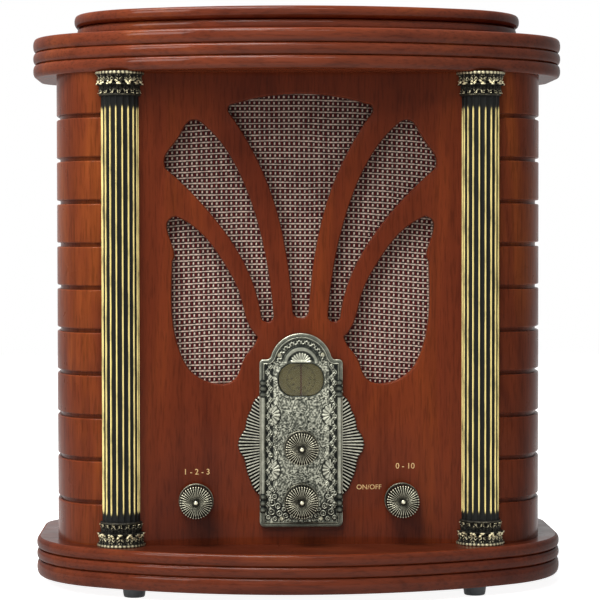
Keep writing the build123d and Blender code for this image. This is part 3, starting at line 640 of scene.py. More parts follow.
# Thread rows bow upwards in the middle and wander a little
wander = (clouds(X, Z, 16.0, 5) - 0.5) * 0.7
arch = 3.6 * (1 - (X / 80.0) ** 2) - 0.018 * X
row = (Z - arch + wander) / weft_pitch
col = (X + 0.012 * (Z - 200) + (clouds(Z, X, 20.0, 6) - 0.5) * 0.5) / warp_pitch
row_index, col_index = np.floor(row + 0.5).astype(int), np.floor(col + 0.5).astype(int)
v, u = row - row_index, col - col_index
slub = clouds(X, Z + 40, 2.2, 7)
weft = dome(v / (0.096 + 0.045 * slub))
dash = 0.62 + 0.38 * np.cos(2 * pi * (col + 0.5))
warp = dome(u / (0.165 + 0.05 * slub))
dot = warp * dome((np.abs(v) - 0.5) / 0.27)
dark_v = dome((np.abs(v) - 0.34) / 0.13)
dark_u = dome((np.abs(u) - 0.5) / 0.28)
rise = highest(0.34 * weft * dash + 0.14 * weft, 0.3 * dot, 0.14 * dark_v, 0.14 * dark_u)
cloth_y = cloth_lo[1] + 0.42 - rise

tone = (clouds(X, Z, 1.1, 8) * 0.25 + 0.87) * (1 - top_shade * smooth(shade_from, shade_to, Z))
light, red, black = (tone[..., None] * np.array(c) for c in (light_thread, red_thread, black_thread))
share = (dark_u * (((col_index + row_index) % 2 == 0) * 0.55 + 0.35))[..., None]
amount = smooth(0.08, 0.8, np.maximum(weft * (0.45 + 0.55 * dash), dot))[..., None]
colour = (black * (1 - share) + red * share) * (1 - amount) + light * amount
points = grid(X, cloth_y, Z).reshape(-1, 3)
faces = quads(len(zs), len(xs))
middle = points[faces].mean(1)
faces = faces[(np.abs(middle[:, 0]) >= notch_half) | (middle[:, 2] >= notch_top)]

s = Shader("woven_grille_cloth")
fibre = s.noise(s.place(), 2600.0, 2.0, 0.5)
thread = s.add("Attribute", attribute_name="thread").outputs["Color"]
s.surface({
    "Base Color": s.tinted(0.4, thread, s.ramp(fibre, [(0.3, 0.6), (0.7, 1.15)])),
    "Roughness": s.ramp(fibre, [(0.3, 0.75), (0.7, 0.95)]),
    "Specular IOR Level": 0.08,
})
s.bump(fibre, 0.3, 0.0001)
cloth = piece("grille_weave", points, faces, s.mat, "cloth", "grille_cloth", sharp=180)
layer = cloth.data.color_attributes.new("thread", "FLOAT_COLOR", "POINT")
rgba = np.concatenate([colour.reshape(-1, 3), np.ones((len(points), 1))], 1)
layer.data.foreach_set("color", rgba.astype(np.float32).ravel())


# Fluted half columns

shaft_lo, shaft_hi = mm_box("column_shaft_right")
shaft_r = (shaft_hi[0] - shaft_lo[0]) / 2
shaft_foot, shaft_head = shaft_lo[2], shaft_hi[2]
flutes = 9
around = np.linspace(-pi, 0, flutes * 16 + 1)
part = (around + pi) / (pi / flutes)
t = 2 * (part - np.floor(part)) - 1
t[-1] = -1
scoop = np.sqrt(dome(t / 0.8, 2.2))
ridge = smooth(0.57, 0.84, np.abs(t))
heights = np.concatenate([
    np.linspace(shaft_foot, shaft_foot + 9, 12)[:-1], np.linspace(shaft_foot + 9, shaft_head - 12, 36),
    np.linspace(shaft_head - 12, shaft_head, 14)[1:],
])
fade = smooth(shaft_foot + 1.0, shaft_foot + 6.5, heights)
fade = fade * smooth(shaft_head - 2.5, shaft_head - 8.5, heights)
for label, sx in (("right", 1), ("left", -1)):
    rows, relief = [], []
    for z, f in zip(heights, fade):
        wobble = 0.85 + 0.15 * np.sin(z * 0.21 + 3 * around + sx)
        r = shaft_r - 1.2 * scoop * (0.55 + 0.45 * f)
        x, y = sx * column_x + r * np.cos(around), panel_y + r * np.sin(around)
        rows.append(grid(x, y, z))
        relief.append((0.16 + ridge * wobble) * f - 0.22 + 0.2 * ridge * f)
    name = "column_shaft_" + label
    faces = quads(len(heights), len(around))
    piece("fluted_" + name, rows, faces, gilt, "column_finish", name, relief=relief)


# Capitals and pedestals with carved leaves between beaded rings


def leaf_height(u, v, lobes):
    """Height of an upright leaf, u across from -1 to 1 and v up from 0 to 1."""
    width = 0.92 * np.sqrt(np.clip(np.sin(pi * (0.16 + 0.8 * v)), 0.0, 1))
    width = width * (1 + 0.13 * np.cos(2 * pi * lobes * v))
    edge = 1 - smooth(0.72, 1.0, np.abs(u) / np.maximum(width, 0.05))
    vein = 0.32 * bell(u, 0.11)
    frond = 0.22 * (0.5 + 0.5 * np.cos(2 * pi * (lobes * v + 1.5 * np.abs(u))))
    curl = 0.7 * np.clip(v, 0.0, 1.0) ** 2.5
    return (v > 0) * (v < 1) * edge * np.clip(0.62 + curl - vein - frond, 0.05, None)


def ornament(node, flip):
    """A pair of carved pieces. flip turns the design over, so that a capital mirrors a pedestal."""
    (_, _, low), (_, _, high) = mm_box(node + "_right")
    around, levels = np.linspace(-pi, 0, 361), np.linspace(0, high - low, 141)
    T, H = np.meshgrid(around, levels)
    k = H / (high - low)
    angle = (T + pi / 2) / radians(1)
    base = 11.0 + 0.9 * smooth(0.35, 0.05, k) - 0.45 * smooth(0.48, 0.58, k)

    def ring(at, width, radius):
        nonlocal base
        bulge = np.sqrt(dome((k - at) / width))
        base = np.maximum(base, radius - 0.75 * (1 - bulge) - 3.0 * (np.abs(k - at) > width))
        return bulge

    def row(v0, v1, period, offset, depth, lobes):
        u = ((angle + offset) / period + 0.5) % 1.0 * 2 - 1
        return depth * leaf_height(u, (k - v0) / (v1 - v0), lobes)

    leaves = highest(
        row(0.15, 0.55, 25.0, 0.0, 2.05, 3.0), row(0.13, 0.4, 25.0, 12.5, 1.55, 2.0),
        row(0.56, 0.9, 20.0, 0.0, 1.45, 3.0), row(0.54, 0.76, 20.0, 10.0, 1.05, 2.0),
    )
    foot_ring = ring(0.055, 0.075, 13.55)
    mid_ring = ring(0.52, 0.035, 12.45) * 0.6
    top_ring = ring(0.945, 0.05, 11.7)
    beads = 0.5 + 0.5 * np.cos(np.radians(angle) * 36)
    radius = np.minimum(base + leaves + 0.16 * beads * foot_ring, 13.65)
    curls = clouds(angle * 0.9, k * 90, 4.2, 11)
    radius = radius - 0.28 * smooth(0.45, 0.7, curls) * (foot_ring < 0.1)
    relief = np.clip(leaves / 1.6, 0, 1) ** 1.9 * (0.35 + 0.65 * (1 - smooth(0.5, 0.75, curls)))
    relief = highest(relief, foot_ring * (0.45 + 0.35 * beads), 0.42 * mid_ring, 0.42 * top_ring)
    if flip:
        radius, relief = radius[::-1], relief[::-1]
    faces = closed(len(levels), len(around), wrap=False)
    for sx, side in ((1, "right"), (-1, "left")):
        points = grid(sx * column_x + radius * np.cos(T), panel_y + radius * np.sin(T), low + H)
        name = node + "_" + side
        piece("carved_" + name, points, faces, gilt_leaf, "column_finish", name, relief=relief, flat=[-2, -1])


ornament("column_pedestal", False)
ornament("column_capital", True)


# Escutcheon: a height field that is cut off along the plate's outline, with relief foliage

plate_lo, plate_hi = mm_box("escutcheon_plate")
rim_y = plate_lo[1]
field_y = rim_y + 0.9
window_z, window_half, window_corner = 120.4, (12.5, 9.05), 8.2
plate_half, plate_low, plate_top, shoulder_z = plate_hi[0], plate_lo[2], plate_hi[2], 131.9
arch_x, arch_z = 17.0, 133.4
arch_r = (arch_x ** 2 + (plate_top - arch_z) ** 2) / (2 * (plate_top - arch_z))
arch_start = degrees(atan2(arch_z - plate_top + arch_r, arch_x))
right_side = [(0.0, plate_low)] + corner_arc(plate_half - 2.9, plate_low + 2.9, 2.9, -90, 0)
right_side += corner_arc(plate_half - 2.3, shoulder_z - 2.3, 2.3, 0, 90)
right_side += corner_arc(18.9, shoulder_z + 1.5, 1.5, -90, -150, 5)
right_side += corner_arc(0.0, plate_top - arch_r, arch_r, arch_start, 90, 24)[:-1]
outline = np.array(right_side + [(0.0, plate_top)] + [(-x, z) for x, z in right_side[:0:-1]])
outline = respaced(outline, 0.6)

plate_step = 0.26
xs, zs = (np.arange(plate_lo[i] - 0.1, plate_hi[i] + 0.2, plate_step) for i in (0, 2))
X, Z = np.meshgrid(xs, zs)
inside = distance_inside(X, Z, outline)
A = np.abs(X)
qx, qz = A - (window_half[0] - window_corner), np.abs(Z - window_z) - (window_half[1] - window_corner)
frame_gap = np.hypot(np.maximum(qx, 0), np.maximum(qz, 0)) + np.minimum(np.maximum(qx, qz), 0) - window_corner

# Rim: flat smooth band, a fine groove and an inner bead, with a painted highlight along the bead
rim_groove = bell(inside - 2.0, 0.22)
rim = 0.9 * (1 - smooth(2.35, 3.1, inside)) - 0.3 * rim_groove + 0.12 * bell(inside - 2.45, 0.25)
rim = rim - 0.18 * smooth(0.9, 0.3, inside)
rim_tone_painted_highlight = 0.4 * (inside < 2.2) + 0.85 * bell(inside - 2.5, 0.3) - 0.25 * rim_groove

# Vine strips down both sides
vine_x, vine_low, curl_pitch, curls = 18.0, 47.2, 3.1, 29
strip = smooth(15.5, 15.9, A) * smooth(20.6, 20.1, A) * smooth(47, 48, Z) * smooth(131, 130, Z)
vine = bell(A - vine_x - 0.95 * np.sin(pi * Z / curl_pitch), 0.34)
for k in range(curls):
    up, side = Z - vine_low - k * curl_pitch, 1 if k % 2 else -1
    across = A - vine_x - side * 0.85
    rho = np.hypot(across, up)
    leaf = 0.8 * bell(np.hypot(across + side * 1.7, up - 1.3), 0.42)
    vine = highest(vine, bell(rho - 1.05, 0.27) * (rho < 1.6), bell(rho, 0.4), leaf)
foliage = strip * np.clip(vine * (0.45 + 1.1 * clouds(X, Z, 0.85, 31)), 0, 1)

# Crown foliage under the arch, a smooth scroll and the shell over the window
crown_middle = inside - 5.1
crown = (Z > 130.5) * smooth(3.0, 3.4, inside) * smooth(7.4, 6.9, inside)
turn = 26 * np.arctan2(Z - 124.0, X)
crown_wave = bell(crown_middle - 0.9 * np.sin(turn), 0.42)
crown_dots = bell(crown_middle + 1.15 * np.sin(turn), 0.5) * (0.5 + 0.5 * np.cos(2 * turn))
foliage = np.maximum(foliage, crown * np.maximum(crown_wave, crown_dots))
scroll = bell((np.hypot(X, Z - 128.6) - 8.9) / 1.25, 0.75) ** 0.5 * (Z > 129.6)
scroll = np.where(scroll > 0.3, smooth(0.3, 0.9, scroll), 0)
shell_rho, shell_turn = np.hypot(X, Z - 129.4), 11 * np.arctan2(Z - 129.4, X)
shell = (Z > 129.2) * smooth(6.1, 5.6, shell_rho - 0.3 * np.cos(2 * shell_turn))
shell = shell * (0.42 + 0.58 * np.cos(shell_turn) ** 2)

# Half shells with long leaf tails facing the middle
fans, fan_zone = np.zeros_like(X), np.zeros_like(X)
for zc in (100.6, 69.6):
    rho = np.hypot(A - 16.9, (Z - zc) * 0.86) * 1.2
    lobes = np.cos(np.arctan2(Z - zc, 17.0 - A) * 13.0)
    edge = smooth(6.3, 5.7, rho - 0.25 * lobes)
    fans = np.maximum(fans, edge * (0.675 + 0.325 * lobes) * (A < 16.6) * smooth(0.6, 1.4, rho))
    fan_zone = np.maximum(fan_zone, smooth(7.2, 6.5, rho))
    for way in (1, -1):
        reach = (Z - zc) * way
        off = A - 15.4 + 1.5 * np.sin(np.clip((reach - 4) / 9.5, 0, 1) * pi)
        width = 1.15 * np.sqrt(dome((reach - 8.0) / 5.6)) + 1e-3
        tail = dome(off / width) * (np.abs(reach - 8.0) < 5.5)
        fans = np.maximum(fans, tail * (0.62 + 0.38 * np.cos(reach * 3.4 + 5 * off)))

# Scrolls filling the two lower corners, each given by its centre and size
scrolls = (
    (16.6, 51.5, 2.2), (13.0, 49.2, 1.9), (17.0, 46.2, 2.1), (12.3, 45.0, 1.9), (8.6, 44.2, 1.7),
    (14.7, 54.9, 1.6), (18.0, 56.2, 1.5), (5.2, 43.6, 1.4), (9.8, 47.8, 1.3), (18.6, 42.9, 1.3),
    (14.6, 42.4, 1.4), (10.4, 41.6, 1.2), (2.0, 42.8, 1.2), (6.8, 41.3, 1.0), (16.2, 58.8, 1.1),
)
corner, corner_zone = np.zeros_like(X), np.zeros_like(X)
for cx, cz, size in scrolls:
    rho, spin = np.hypot(A - cx, Z - cz), np.arctan2(Z - cz, A - cx)
    spiral = bell(rho - size * (0.72 + 0.16 * np.sin(spin + cx)), 0.3) * (rho < size * 1.25)
    corner = highest(corner, spiral, bell(rho, 0.42 * size / 1.6))
    corner_zone = np.maximum(corner_zone, smooth(size * 1.45, size * 1.2, rho))
corner = corner * (inside > 3.0)

# Height and brightness over the whole plate: worn bright carving, and a painted highlight on the rim
stipple = clouds(X, Z, 0.6, 21) * 0.85 + clouds(X, Z, 1.0, 22) * 0.15
field = 0.42 * (stipple - 0.5) + 0.03 * (clouds(X, Z, 6.0, 23) - 0.5)
surround = 0.5 * bell(frame_gap - 1.15, 0.85) * (frame_gap < 3.2)
relief_h = highest(0.62 * foliage, 0.5 * scroll, 0.62 * shell, 0.6 * fans, 0.58 * corner)
inner = smooth(2.75, 3.25, inside)
shell_zone = smooth(10.2, 9.8, shell_rho) * (Z > 129.2)
carved_zone = np.clip(highest(strip, crown, corner_zone, fan_zone, shell_zone), 0, 1)
height = np.where(inside < 3.2, rim, 0) + inner * (field * (1 - carved_zone) + relief_h + surround)
height = height - 0.5 * smooth(0.65, 0.2, inside)
carved = highest(foliage, 0.62 * scroll, shell, fans, corner)
tone = 0.5 + (stipple - 0.5) * (1 - carved_zone) - 0.42 * carved_zone * (1 - carved) + 0.38 * carved
# The rim's tone carries the painted highlight on its inner bead.
tone = inner * tone + (1 - inner) * np.clip(rim_tone_painted_highlight, 0.08, 1)
tone = np.where(frame_gap < 2.0, tone + 0.16 * bell(frame_gap - 1.3, 0.4), tone)
tone = np.where(frame_gap < 0.8, 0.1 + 0.4 * smooth(0.2, 0.8, frame_gap), tone)
points = grid(X, field_y - height, Z).reshape(-1, 3).tolist()
tones = tone.ravel().tolist()

# Faces inside the outline, outside the window and clear of the two knob shafts
shaft_hole = 4.3
knob_gap = np.minimum.reduce([np.hypot(X, Z - z) - shaft_hole for z in (82.3, 52.5)])
faces = quads(len(zs), len(xs))
nearest = [gap.ravel()[faces].min(1) for gap in (inside, frame_gap, knob_gap)]
faces = list(faces[(nearest[0] > 0.3) & (nearest[1] > 0.12) & (nearest[2] > -0.3)])


def add_edge(loop, normals, section):
    """A ring of faces along a loop, from rows of outward growth, depth and brightness."""
    base = len(points)
    for grow, y, shine in section:
        points.extend((x, y, z) for x, z in loop + normals * grow)
        tones.extend([shine] * len(loop))
    faces.extend(quads(len(section), len(loop), True, base))


# Rolled outer edge from the panel to the rim, brightest along its crown as a painted highlight, and bevelled
# window surround
add_edge(outline, outward(outline), [
    (0.0, panel_y, 0.15), (0.0, rim_y + 0.75, 0.3), (-0.08, rim_y + 0.42, 0.6),
    (-0.27, rim_y + 0.17, 0.85), (-0.55, rim_y + 0.03, 0.48), (-0.95, rim_y + 0.02, 0.4),
])
window_ring = []
for a in np.linspace(0, 2 * pi, 121)[:-1]:
    cx = np.sign(cos(a)) * (window_half[0] - window_corner)
    cz = np.sign(sin(a)) * (window_half[1] - window_corner)
    window_ring.append((cx + window_corner * cos(a), window_z + cz + window_corner * sin(a)))
window_ring = respaced(np.array(window_ring), 0.7)
add_edge(window_ring, outward(window_ring), [
    (0.0, panel_y, 0.02), (0.0, field_y + 0.35, 0.05), (0.1, field_y + 0.02, 0.08),
    (0.45, field_y - 0.32, 0.18), (0.85, field_y - 0.47, 0.34), (1.25, field_y - 0.49, 0.3),
])
piece("escutcheon_relief", points, faces, brass, "antique_brass", "escutcheon_plate", relief=tones, sharp=70)


# Sunray wings either side of the plate, from the right one's outline, lower end first

wing_edge = np.array([
    (23.5, 55.2), (26.4, 58.2), (27.8, 61.0), (28.7, 63.8), (30.0, 66.8), (31.0, 70.4), (31.4, 73.6),
    (32.4, 77.0), (34.7, 80.0), (35.6, 83.6), (35.2, 86.8), (33.6, 89.8), (31.5, 92.8), (31.0, 96.6),
    (30.1, 100.2), (28.4, 103.2), (27.6, 106.6), (26.0, 109.4), (23.5, 111.6),
])
ray_x, ray_z, wing_root = 6.0, 84.5, 22.9
ribs, across, along = 31, 12, 20
bearing = np.arctan2(wing_edge[:, 1] - ray_z, wing_edge[:, 0] + ray_x)
reach = np.hypot(wing_edge[:, 0] + ray_x, wing_edge[:, 1] - ray_z)
low_turn, high_turn = bearing[0] + 0.004, bearing[-1] - 0.004
turns = np.linspace(low_turn, high_turn, ribs * across + 1)
rib_part = (turns - low_turn) / (high_turn - low_turn) * ribs
t = np.clip(2 * (rib_part - np.floor(rib_part)) - 1, -1, 1)
t[-1] = 1
crest = np.sqrt(dome(t, 2.2))
outer_r = np.interp(turns, bearing, reach) - 0.9 * (1 - crest)
inner_r = (ray_x + wing_root) / np.cos(turns)
for label, sx in (("left", -1), ("right", 1)):
    rows, relief = [], []
    for k in range(along + 1):
        r = inner_r + (outer_r - inner_r) * (1 - (1 - k / along) ** 1.6)
        swell = np.sqrt(1 - (1 - np.clip((outer_r - r) / 1.1, 0, 1)) ** 2)
        y = panel_y - 0.12 - (0.3 + 1.13 * crest) * (0.12 + 0.88 * swell)
        rows.append(grid(sx * (r * np.cos(turns) - ray_x), y, ray_z + r * np.sin(turns)))
        relief.append(0.01 + 0.74 * smooth(0.8, 0.995, crest) * (0.7 + 0.3 * swell))
    rows.append(grid(rows[-1][:, 0], panel_y, rows[-1][:, 2]))
    relief.append(np.full(len(turns), 0.05))
    name = "escutcheon_wing_" + label
    faces = quads(len(rows), len(turns), flip=sx > 0)
    piece("sunray_" + label, rows, faces, brass_wing, "antique_brass", name, relief=relief)


# Hinge rods: a plain rod on each side, with three knuckles at either end

rod_x, rod_y, rod_count = mm_box("escutcheon_rods")[1][0] - 1.8, rim_y - 0.3, 24
rod_profile = [(0.0, 56.7), (1.25, 56.7), (1.32, 58), (1.32, 109), (1.25, 110.5), (0.0, 110.5)]
knuckles = 3
parts, tones = [], []
for sx in (-1, 1):
    place = (sx * rod_x, rod_y, 0)
    parts.append(lathe(rod_profile, place, "z", rod_count))
    tones.append(np.full(len(parts[-1][0]), 0.62))
    for z0, z1 in ((45.6, 56.6), (110.6, 120.4)):
        length = (z1 - z0) / knuckles
        rings = [(0.0, z0), (1.2, z0)]
        for k in range(knuckles):
            for f in (0.04, 0.12, 0.3, 0.5, 0.7, 0.88, 0.96):
                rings.append((1.15 + 0.65 * sin(pi * f) ** 0.5, z0 + length * (k + f)))
        rings += [(1.2, z1), (0.0, z1)]
        parts.append(lathe(rings, place, "z", rod_count))
        swell = np.clip((np.repeat([r for r, z in rings], rod_count) - 1.2) / 0.6, 0, 1)
        # Painted highlight: each knuckle is dark with a bright band round its crown.
        tones.append(0.02 + 0.45 * swell ** 4)
points, faces = joined(parts)
points[:, 1] = np.minimum(points[:, 1], rim_y + 0.9)
relief = np.concatenate(tones)
piece("hinge_rods", points, faces, brass, "antique_brass", "escutcheon_rods", relief=relief, sharp=50)


# Knobs: radial ribs that end in beads, a bright centre bead and a thin raised rim

knob_ribs, rib_points, rib_depth = 36, 12, 0.62


def ribbed_knob(name):
    lo, hi = mm_box(name + "_knob")
    cx, cz = (lo[0] + hi[0]) / 2, (lo[2] + hi[2]) / 2
    front, rim_r = lo[1], (hi[0] - lo[0]) / 2
    n = knob_ribs * rib_points
    a = np.linspace(0, 2 * pi, n, endpoint=False)
    wave = 0.5 + 0.5 * np.cos(a * knob_ribs)
    # Radius, distance behind the front, share of the ribs and brightness
    profile = [
        (0.0, 0.02, 0, 1.0), (0.45, 0.06, 0, 1.0), (0.85, 0.22, 0, 0.95), (1.15, 0.5, 0, 0.8),
        (1.28, 0.85, 0, 0.45), (1.35, 1.25, 0, 0.1), (1.6, 1.36, 0.15, 0.2), (2.0, 1.32, 0.3, 0.4),
        (2.4, 1.24, 0.45, 0.5), (2.9, 1.12, 0.55, 0.58), (3.4, 0.98, 0.6, 0.62), (4.2, 0.78, 0.8, 0.72),
        (5.2, 0.68, 0.95, 0.78), (6.2, 0.7, 1.0, 0.82), (7.0, 0.82, 1.0, 0.86), (7.8, 1.0, 1.0, 0.8),
        (8.15, 1.3, 0.9, 0.45), (8.4, 1.22, 1.2, 0.95), (8.8, 1.28, 1.4, 1.0), (9.15, 1.6, 1.4, 0.9),
        (9.25, 2.05, 1.2, 0.6), (9.15, 2.7, 1.0, 0.4), (9.05, 4.0, 0.9, 0.4), (9.1, 7.0, 0.9, 0.4),
        (9.1, 10.4, 0.7, 0.35), (9.1, 11.2, 0.2, 0.2), (9.15, 11.55, 0, 0.2), (9.45, 11.6, 0, 0.5),
        (rim_r - 0.08, 11.72, 0, 0.6), (rim_r, 11.95, 0, 0.5), (rim_r, 12.6, 0, 0.4),
        (rim_r - 0.2, 12.98, 0, 0.2), (0.0, 12.98, 0, 0.1),
    ]
    rows, tones = [], []
    for r, d, rib, shine in profile:
        depth = rib_depth * rib * (1 - wave ** 0.7)
        slope = smooth(8.0, 9.1, r)
        radius = r - depth * slope
        y = front + d + depth * (1 - slope)
        rows.append(grid(cx + radius * np.cos(a), y, cz + radius * np.sin(a)))
        share = min(1, rib)
        tones.append(shine * ((1 - share) + share * (0.01 + 0.99 * wave ** 1.9)))
    node = name + "_knob"
    faces = quads(len(profile), n, True, flip=True)
    piece("ribbed_" + node, rows, faces, brass_knob, "knob_black", node, name, relief=tones, sharp=70)


for name in ("band", "tone", "volume", "tuning"):
    ribbed_knob(name)


# Dial card with its ticks and numbers

disc_lo, disc_hi = mm_box("dial_disc")
disc_r, card_y = (disc_hi[0] - disc_lo[0]) / 2, disc_lo[1]
s = Shader("dial_card")
blots = s.noise(s.place(), 220.0, 4.0, 0.6)
s.surface({
    "Base Color": s.ramp(blots, [(0.3, (0.205, 0.178, 0.074)), (0.7, (0.31, 0.27, 0.12))]),
    "Roughness": s.ramp(blots, [(0.3, 0.5), (0.7, 0.65)]),
})
s.bump(blots, 0.1, 0.0001)
card_mat = s.mat
profile = [
    (0.0, 1.0), (disc_r - 0.2, 1.0), (disc_r, 0.85), (disc_r, 0.15), (disc_r - 0.15, 0.0),
    (8.9, 0.0), (8.85, -0.04), (4.0, -0.04), (3.6, -0.12), (0.0, -0.14),
]
points, faces = lathe(profile, (0, card_y, window_z), "y", 120)
piece("dial_card", points, faces, card_mat, "dial_print", "dial_disc", "dial", sharp=30, fix=True)
ink = plain("dial_ink", (0.02, 0.017, 0.008), 0.6, scale=900.0)


def text_piece(name, words, size, spot, mat, body="cabinet", turn=0.0):
    """Letters laid on a front-facing surface, a hair thick."""
    curve = bpy.data.curves.new(name, "FONT")
    curve.body = words
    curve.size = size * 0.001
    curve.align_x = curve.align_y = "CENTER"
    curve.extrude = 0.00003
    curve.resolution_u = 3
    holder = bpy.data.objects.new(name + "_text", curve)
    scene.collection.objects.link(holder)
    bpy.context.view_layer.update()
    mesh = bpy.data.meshes.new_from_object(holder.evaluated_get(bpy.context.evaluated_depsgraph_get()))
    bpy.data.objects.remove(holder)
    upright = Matrix.Rotation(turn, 4, "Y") @ Matrix.Rotation(pi / 2, 4, "X")
    mesh.transform(Matrix.Translation(Vector(spot) * 0.001) @ upright)
    mesh.materials.clear()
    mesh.name = name
    placed(name, mesh, mat, body)


tick_outer, ticks, numbered = 8.3, 72, 6
points, faces = [], []
for k in range(ticks):
    c, s_ = cos(2 * pi * k / ticks), sin(2 * pi * k / ticks)
    length, w = (1.5, 0.16) if k % numbered == 0 else (0.8, 0.1)
    b = len(points)
    for y in (card_y - 0.1, card_y - 0.02):
        for reach, side in ((length, -w), (length, w), (0, w), (0, -w)):
            r = tick_outer - reach
            points.append((r * c - side * s_, y, window_z + r * s_ + side * c))
    faces += [[b, b + 1, b + 2, b + 3], [b + 7, b + 6, b + 5, b + 4]]
    faces += [[b + i, b + (i + 1) % 4, b + 4 + (i + 1) % 4, b + 4 + i] for i in range(4)]
piece("dial_ticks", points, faces, ink, "dial_print", body="dial", sharp=30, fix=True)
for k, words in enumerate(("6", "8", "10", "12", "14", "16")):
    a = radians(-90 + (k - 2.5) * 38)
    spot = (5.2 * cos(a), card_y - 0.17, window_z + 5.2 * sin(a))
    text_piece("dial_number_" + words, words, 2.3, spot, ink, "dial", -(a + pi / 2))


# Window glass and hairline

glass_lo, glass_hi = mm_box("dial_window")
s = Shader("clear_window")
smudge = s.noise(s.place(), 130.0, 3.0, 0.6)
clear = s.add("BsdfTransparent", {"Color": (0.9, 0.89, 0.8, 1)}).outputs[0]
shine = s.add("BsdfGlossy", {"Roughness": s.maths("MULTIPLY", smudge, 0.16)}).outputs[0]
facing = s.add("Fresnel", {"IOR": 1.45}).outputs[0]
blend = s.add("MixShader", {"Fac": s.maths("MULTIPLY", facing, 0.7), 1: clear, 2: shine})
s.put(s.tree.nodes["Material Output"], {"Surface": blend.outputs[0]})
glass_front, glass_back = glass_lo[1], glass_hi[1]
rows = [
    (1.5, glass_back), (0.0, glass_back), (0.0, glass_front + 0.35), (0.15, glass_front + 0.12),
    (0.6, glass_front), (1.6, glass_front),
]
pane = respaced(window_ring, 0.7)
pane_n = outward(pane)
points = [(x, y, z) for inset, y in rows for x, z in pane - pane_n * (inset + 0.01)]
faces = closed(len(rows), len(pane))
piece("window_glass", points, faces, s.mat, "glazing", "dial_window", sharp=40, fix=True, flat=[-2, -1])

# The hairline is drawn wider than it is, so that it doesn't fall between pixels
hair_lo, hair_hi = mm_box("dial_hairline")
hair_r, hair_widening = (hair_hi[1] - hair_lo[1]) / 2, 2.4
red_paint = plain("hairline_paint", (0.115, 0.016, 0.008), 0.5, scale=900.0)
profile = [(0.0, hair_lo[2]), (hair_r, hair_lo[2] + 0.1), (hair_r, hair_hi[2] - 0.1), (0.0, hair_hi[2])]
points, faces = lathe(profile, (0, (hair_lo[1] + hair_hi[1]) / 2, 0), "z", 14)
points[:, 0] *= hair_widening
piece("hairline", points, faces, red_paint, "hairline_red", "dial_hairline")


# Printed marks beside the knobs: plain numbers, and on and off

gold_ink = plain("gold_print", (0.62, 0.4, 0.17), 0.45, 0.3, 1500.0, 0.15)
print_y = panel_y - 0.02
for name, words, size, x, z in (
    ("band_numbers", "1 - 2 - 3", 4.6, -58.6, 68.6), ("volume_numbers", "0 - 10", 4.6, 58.6, 71.4),
    ("switch_words", "ON/OFF", 3.9, 38.2, 59.6),
):
    text_piece(name, words, size, (x, print_y, z), gold_ink)


# Rubber feet, each with a hole for its screw

feet_lo, feet_hi = mm_box("rubber_feet")
foot_r, foot_h, screw_r = 6.5, feet_hi[2], 3.2
profile = [
    (screw_r, foot_h - 3.2), (screw_r, 0.5), (3.6, 0.0), (5.2, 0.0), (5.62, 0.12), (5.85, 0.45), (6.1, 1.6),
    (6.45, 4.6), (foot_r, foot_h), (0.0, foot_h), (0.0, foot_h - 3.2), (screw_r, foot_h - 3.2),
]
parts = []
for x in (feet_lo[0] + foot_r, feet_hi[0] - foot_r):
    for y in (feet_lo[1] + foot_r, feet_hi[1] - foot_r):
        parts.append(lathe(profile, (x, y, 0), "z", 40))
rubber = plain("dark_rubber", (0.04, 0.044, 0.048), 0.6, scale=700.0, bump=0.3)
piece("feet", *joined(parts), rubber, "rubber", "rubber_feet", sharp=50)


# Finishes of the parts that are carried over from the CAD model, by slot or by node

zinc = plain("zinc_plate", (0.52, 0.53, 0.52), 0.35, 1.0, 500.0, 0.12)
ceramic = plain("ferrite_ceramic", (0.045, 0.045, 0.047), 0.55, 0.2, 400.0)
raw = boarded("raw_board", (0.46, 0.3, 0.16))
finish_of = {
    "raw_wood": raw, "cloth": raw, "zinc_steel": zinc, "glazing": zinc, "magnet": ceramic, "ferrite": ceramic,
    "hardboard": boarded("pressed_back_board", (0.085, 0.048, 0.026), (1, 1, 0.05)),
    "black_steel": plain("black_enamel", (0.02, 0.02, 0.022), 0.35, 0.0, 400.0, 0.2, coat=0.3),
    "shaft_alloy": plain("turned_alloy", (0.7, 0.7, 0.69), 0.25, 1.0, 900.0, 0.08),
    "control_case": plain("moulded_case", (0.035, 0.035, 0.04), 0.5, scale=600.0),
    "paper_cone": plain("pressed_paper", (0.03, 0.027, 0.024), 0.9, scale=500.0, bump=0.5),
    "board_green": plain("solder_mask", (0.02, 0.11, 0.045), 0.35, scale=250.0),
    "part_mixed": plain("part_sleeves", (0.03, 0.035, 0.1), 0.4, scale=250.0, vary=0.5),
    "nylon": plain("moulded_nylon", (0.72, 0.7, 0.62), 0.45),
    "cord_thread": plain("waxed_thread", (0.55, 0.48, 0.3), 0.8, scale=2500.0, bump=0.6),
    "lamination": plain("varnished_laminations", (0.1, 0.085, 0.07), 0.5, 0.6, 900.0),
    "antique_brass": brass, "lacquered_wood": wood_panel, "dial_print": card_mat, "rubber": rubber,
    "column_finish": gilt, "knob_black": brass_knob, "hairline_red": red_paint,
}
own_finish = {"speaker_baffle": boarded("stained_baffle", (0.03, 0.022, 0.016))}
for name in ("escutcheon_pins", "bracket_bushes"):
    own_finish[name] = plain("turned_brass_" + name, (0.3, 0.29, 0.21), 0.4, 1.0, 500.0)
for sub in frame["record"]["subparts"]:
    node = nodes[sub["node"]]
    mat = own_finish.get(sub["node"], finish_of[sub["material_slot"]])
    if not node.material_slots:
        node.data.materials.append(mat)
    for entry in node.material_slots:
        entry.material = mat


# Floor and world: white to the camera, mirrors and glass, and plain light for the rest

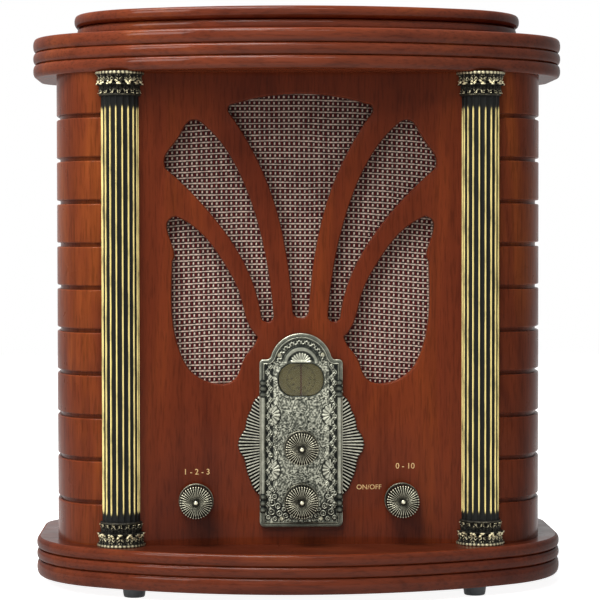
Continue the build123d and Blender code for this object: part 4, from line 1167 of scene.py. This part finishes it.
floor_reach = 2.4
s = Shader("studio_floor")
speck = s.noise(s.place(), 8.0, 2.0, 0.5)
s.surface({
    "Base Color": s.ramp(speck, [(0.3, 0.62), (0.7, 0.66)]),
    "Roughness": 0.9,
    "Specular IOR Level": 0.1,
    "Emission Color": (1, 1, 1, 1),
    "Emission Strength": s.maths("MULTIPLY", s.seen_rays(), 0.92),
})
floor_mesh = bpy.data.meshes.new("studio_floor")
corners = [(x * floor_reach, y * floor_reach, 0) for x, y in ((-1, -1), (1, -1), (1, 1), (-1, 1))]
floor_mesh.from_pydata(corners, [], [(0, 1, 2, 3)])
floor_mesh.materials.append(s.mat)
floor = bpy.data.objects.new("studio_floor", floor_mesh)
scene.collection.objects.link(floor)

world = bpy.data.worlds.new("studio")
scene.world = world
world.use_nodes = True
world.node_tree.nodes.clear()
w = Nodes(world.node_tree)
fill = w.add("Background", {"Color": (0.93, 0.95, 1.0, 1), "Strength": 0.06}).outputs[0]
white = w.add("Background", {"Color": (1, 1, 1, 1), "Strength": 1.0}).outputs[0]
mixed = w.add("MixShader", {0: w.seen_rays(), 1: fill, 2: white}).outputs[0]
w.add("OutputWorld", {0: mixed})


# Lamps and camera


def lamp(name, spot, aim, size, power, colour):
    data = bpy.data.lights.new(name, "AREA")
    data.shape = "RECTANGLE"
    data.size, data.size_y = size
    data.energy = power
    data.color = colour
    ob = bpy.data.objects.new(name, data)
    ob.location = spot
    ob.rotation_euler = (Vector(aim) - Vector(spot)).to_track_quat("-Z", "Y").to_euler()
    scene.collection.objects.link(ob)


lamp("top_softbox", (-0.45, -0.48, 1.55), (0.0, -0.05, 0.1), (1.0, 0.6), 36.0, (1.0, 0.985, 0.965))
lamp("left_softbox", (-1.0, -0.98, 0.95), (-0.05, 0, 0.2), (0.5, 0.5), 7.5, (0.98, 0.99, 1.0))
lamp("front_fill", (-0.25, -2.1, 0.85), (0, 0, 0.15), (0.9, 0.9), 1.2, (1.0, 0.98, 0.95))
lamp("cap_strip", (-0.15, -1.15, 1.25), (0, -0.06, 0.31), (0.9, 0.12), 4.0, (1.0, 0.99, 0.97))

# The camera's place and turn, fitted to the photo, whose focal length is in pixels
photo_width, focal_pixels, sensor = 600.0, 2306.3, 36.0
yaw, pitch, roll = 0.0321, 0.031, -0.0013
camera_spot = (-0.042, -1.3365, 0.2052)
camera_data = bpy.data.cameras.new("camera")
camera_data.sensor_width = sensor
camera_data.lens = focal_pixels * sensor / photo_width
camera_data.clip_start = 0.01
camera = bpy.data.objects.new("camera", camera_data)
forward = Vector((sin(yaw) * cos(pitch), cos(yaw) * cos(pitch), -sin(pitch)))
aimed = forward.to_track_quat("-Z", "Y").to_matrix().to_4x4() @ Matrix.Rotation(roll, 4, "Z")
camera.matrix_world = Matrix.Translation(camera_spot) @ aimed
scene.collection.objects.link(camera)
scene.camera = camera
scene.view_settings.view_transform = "Standard"
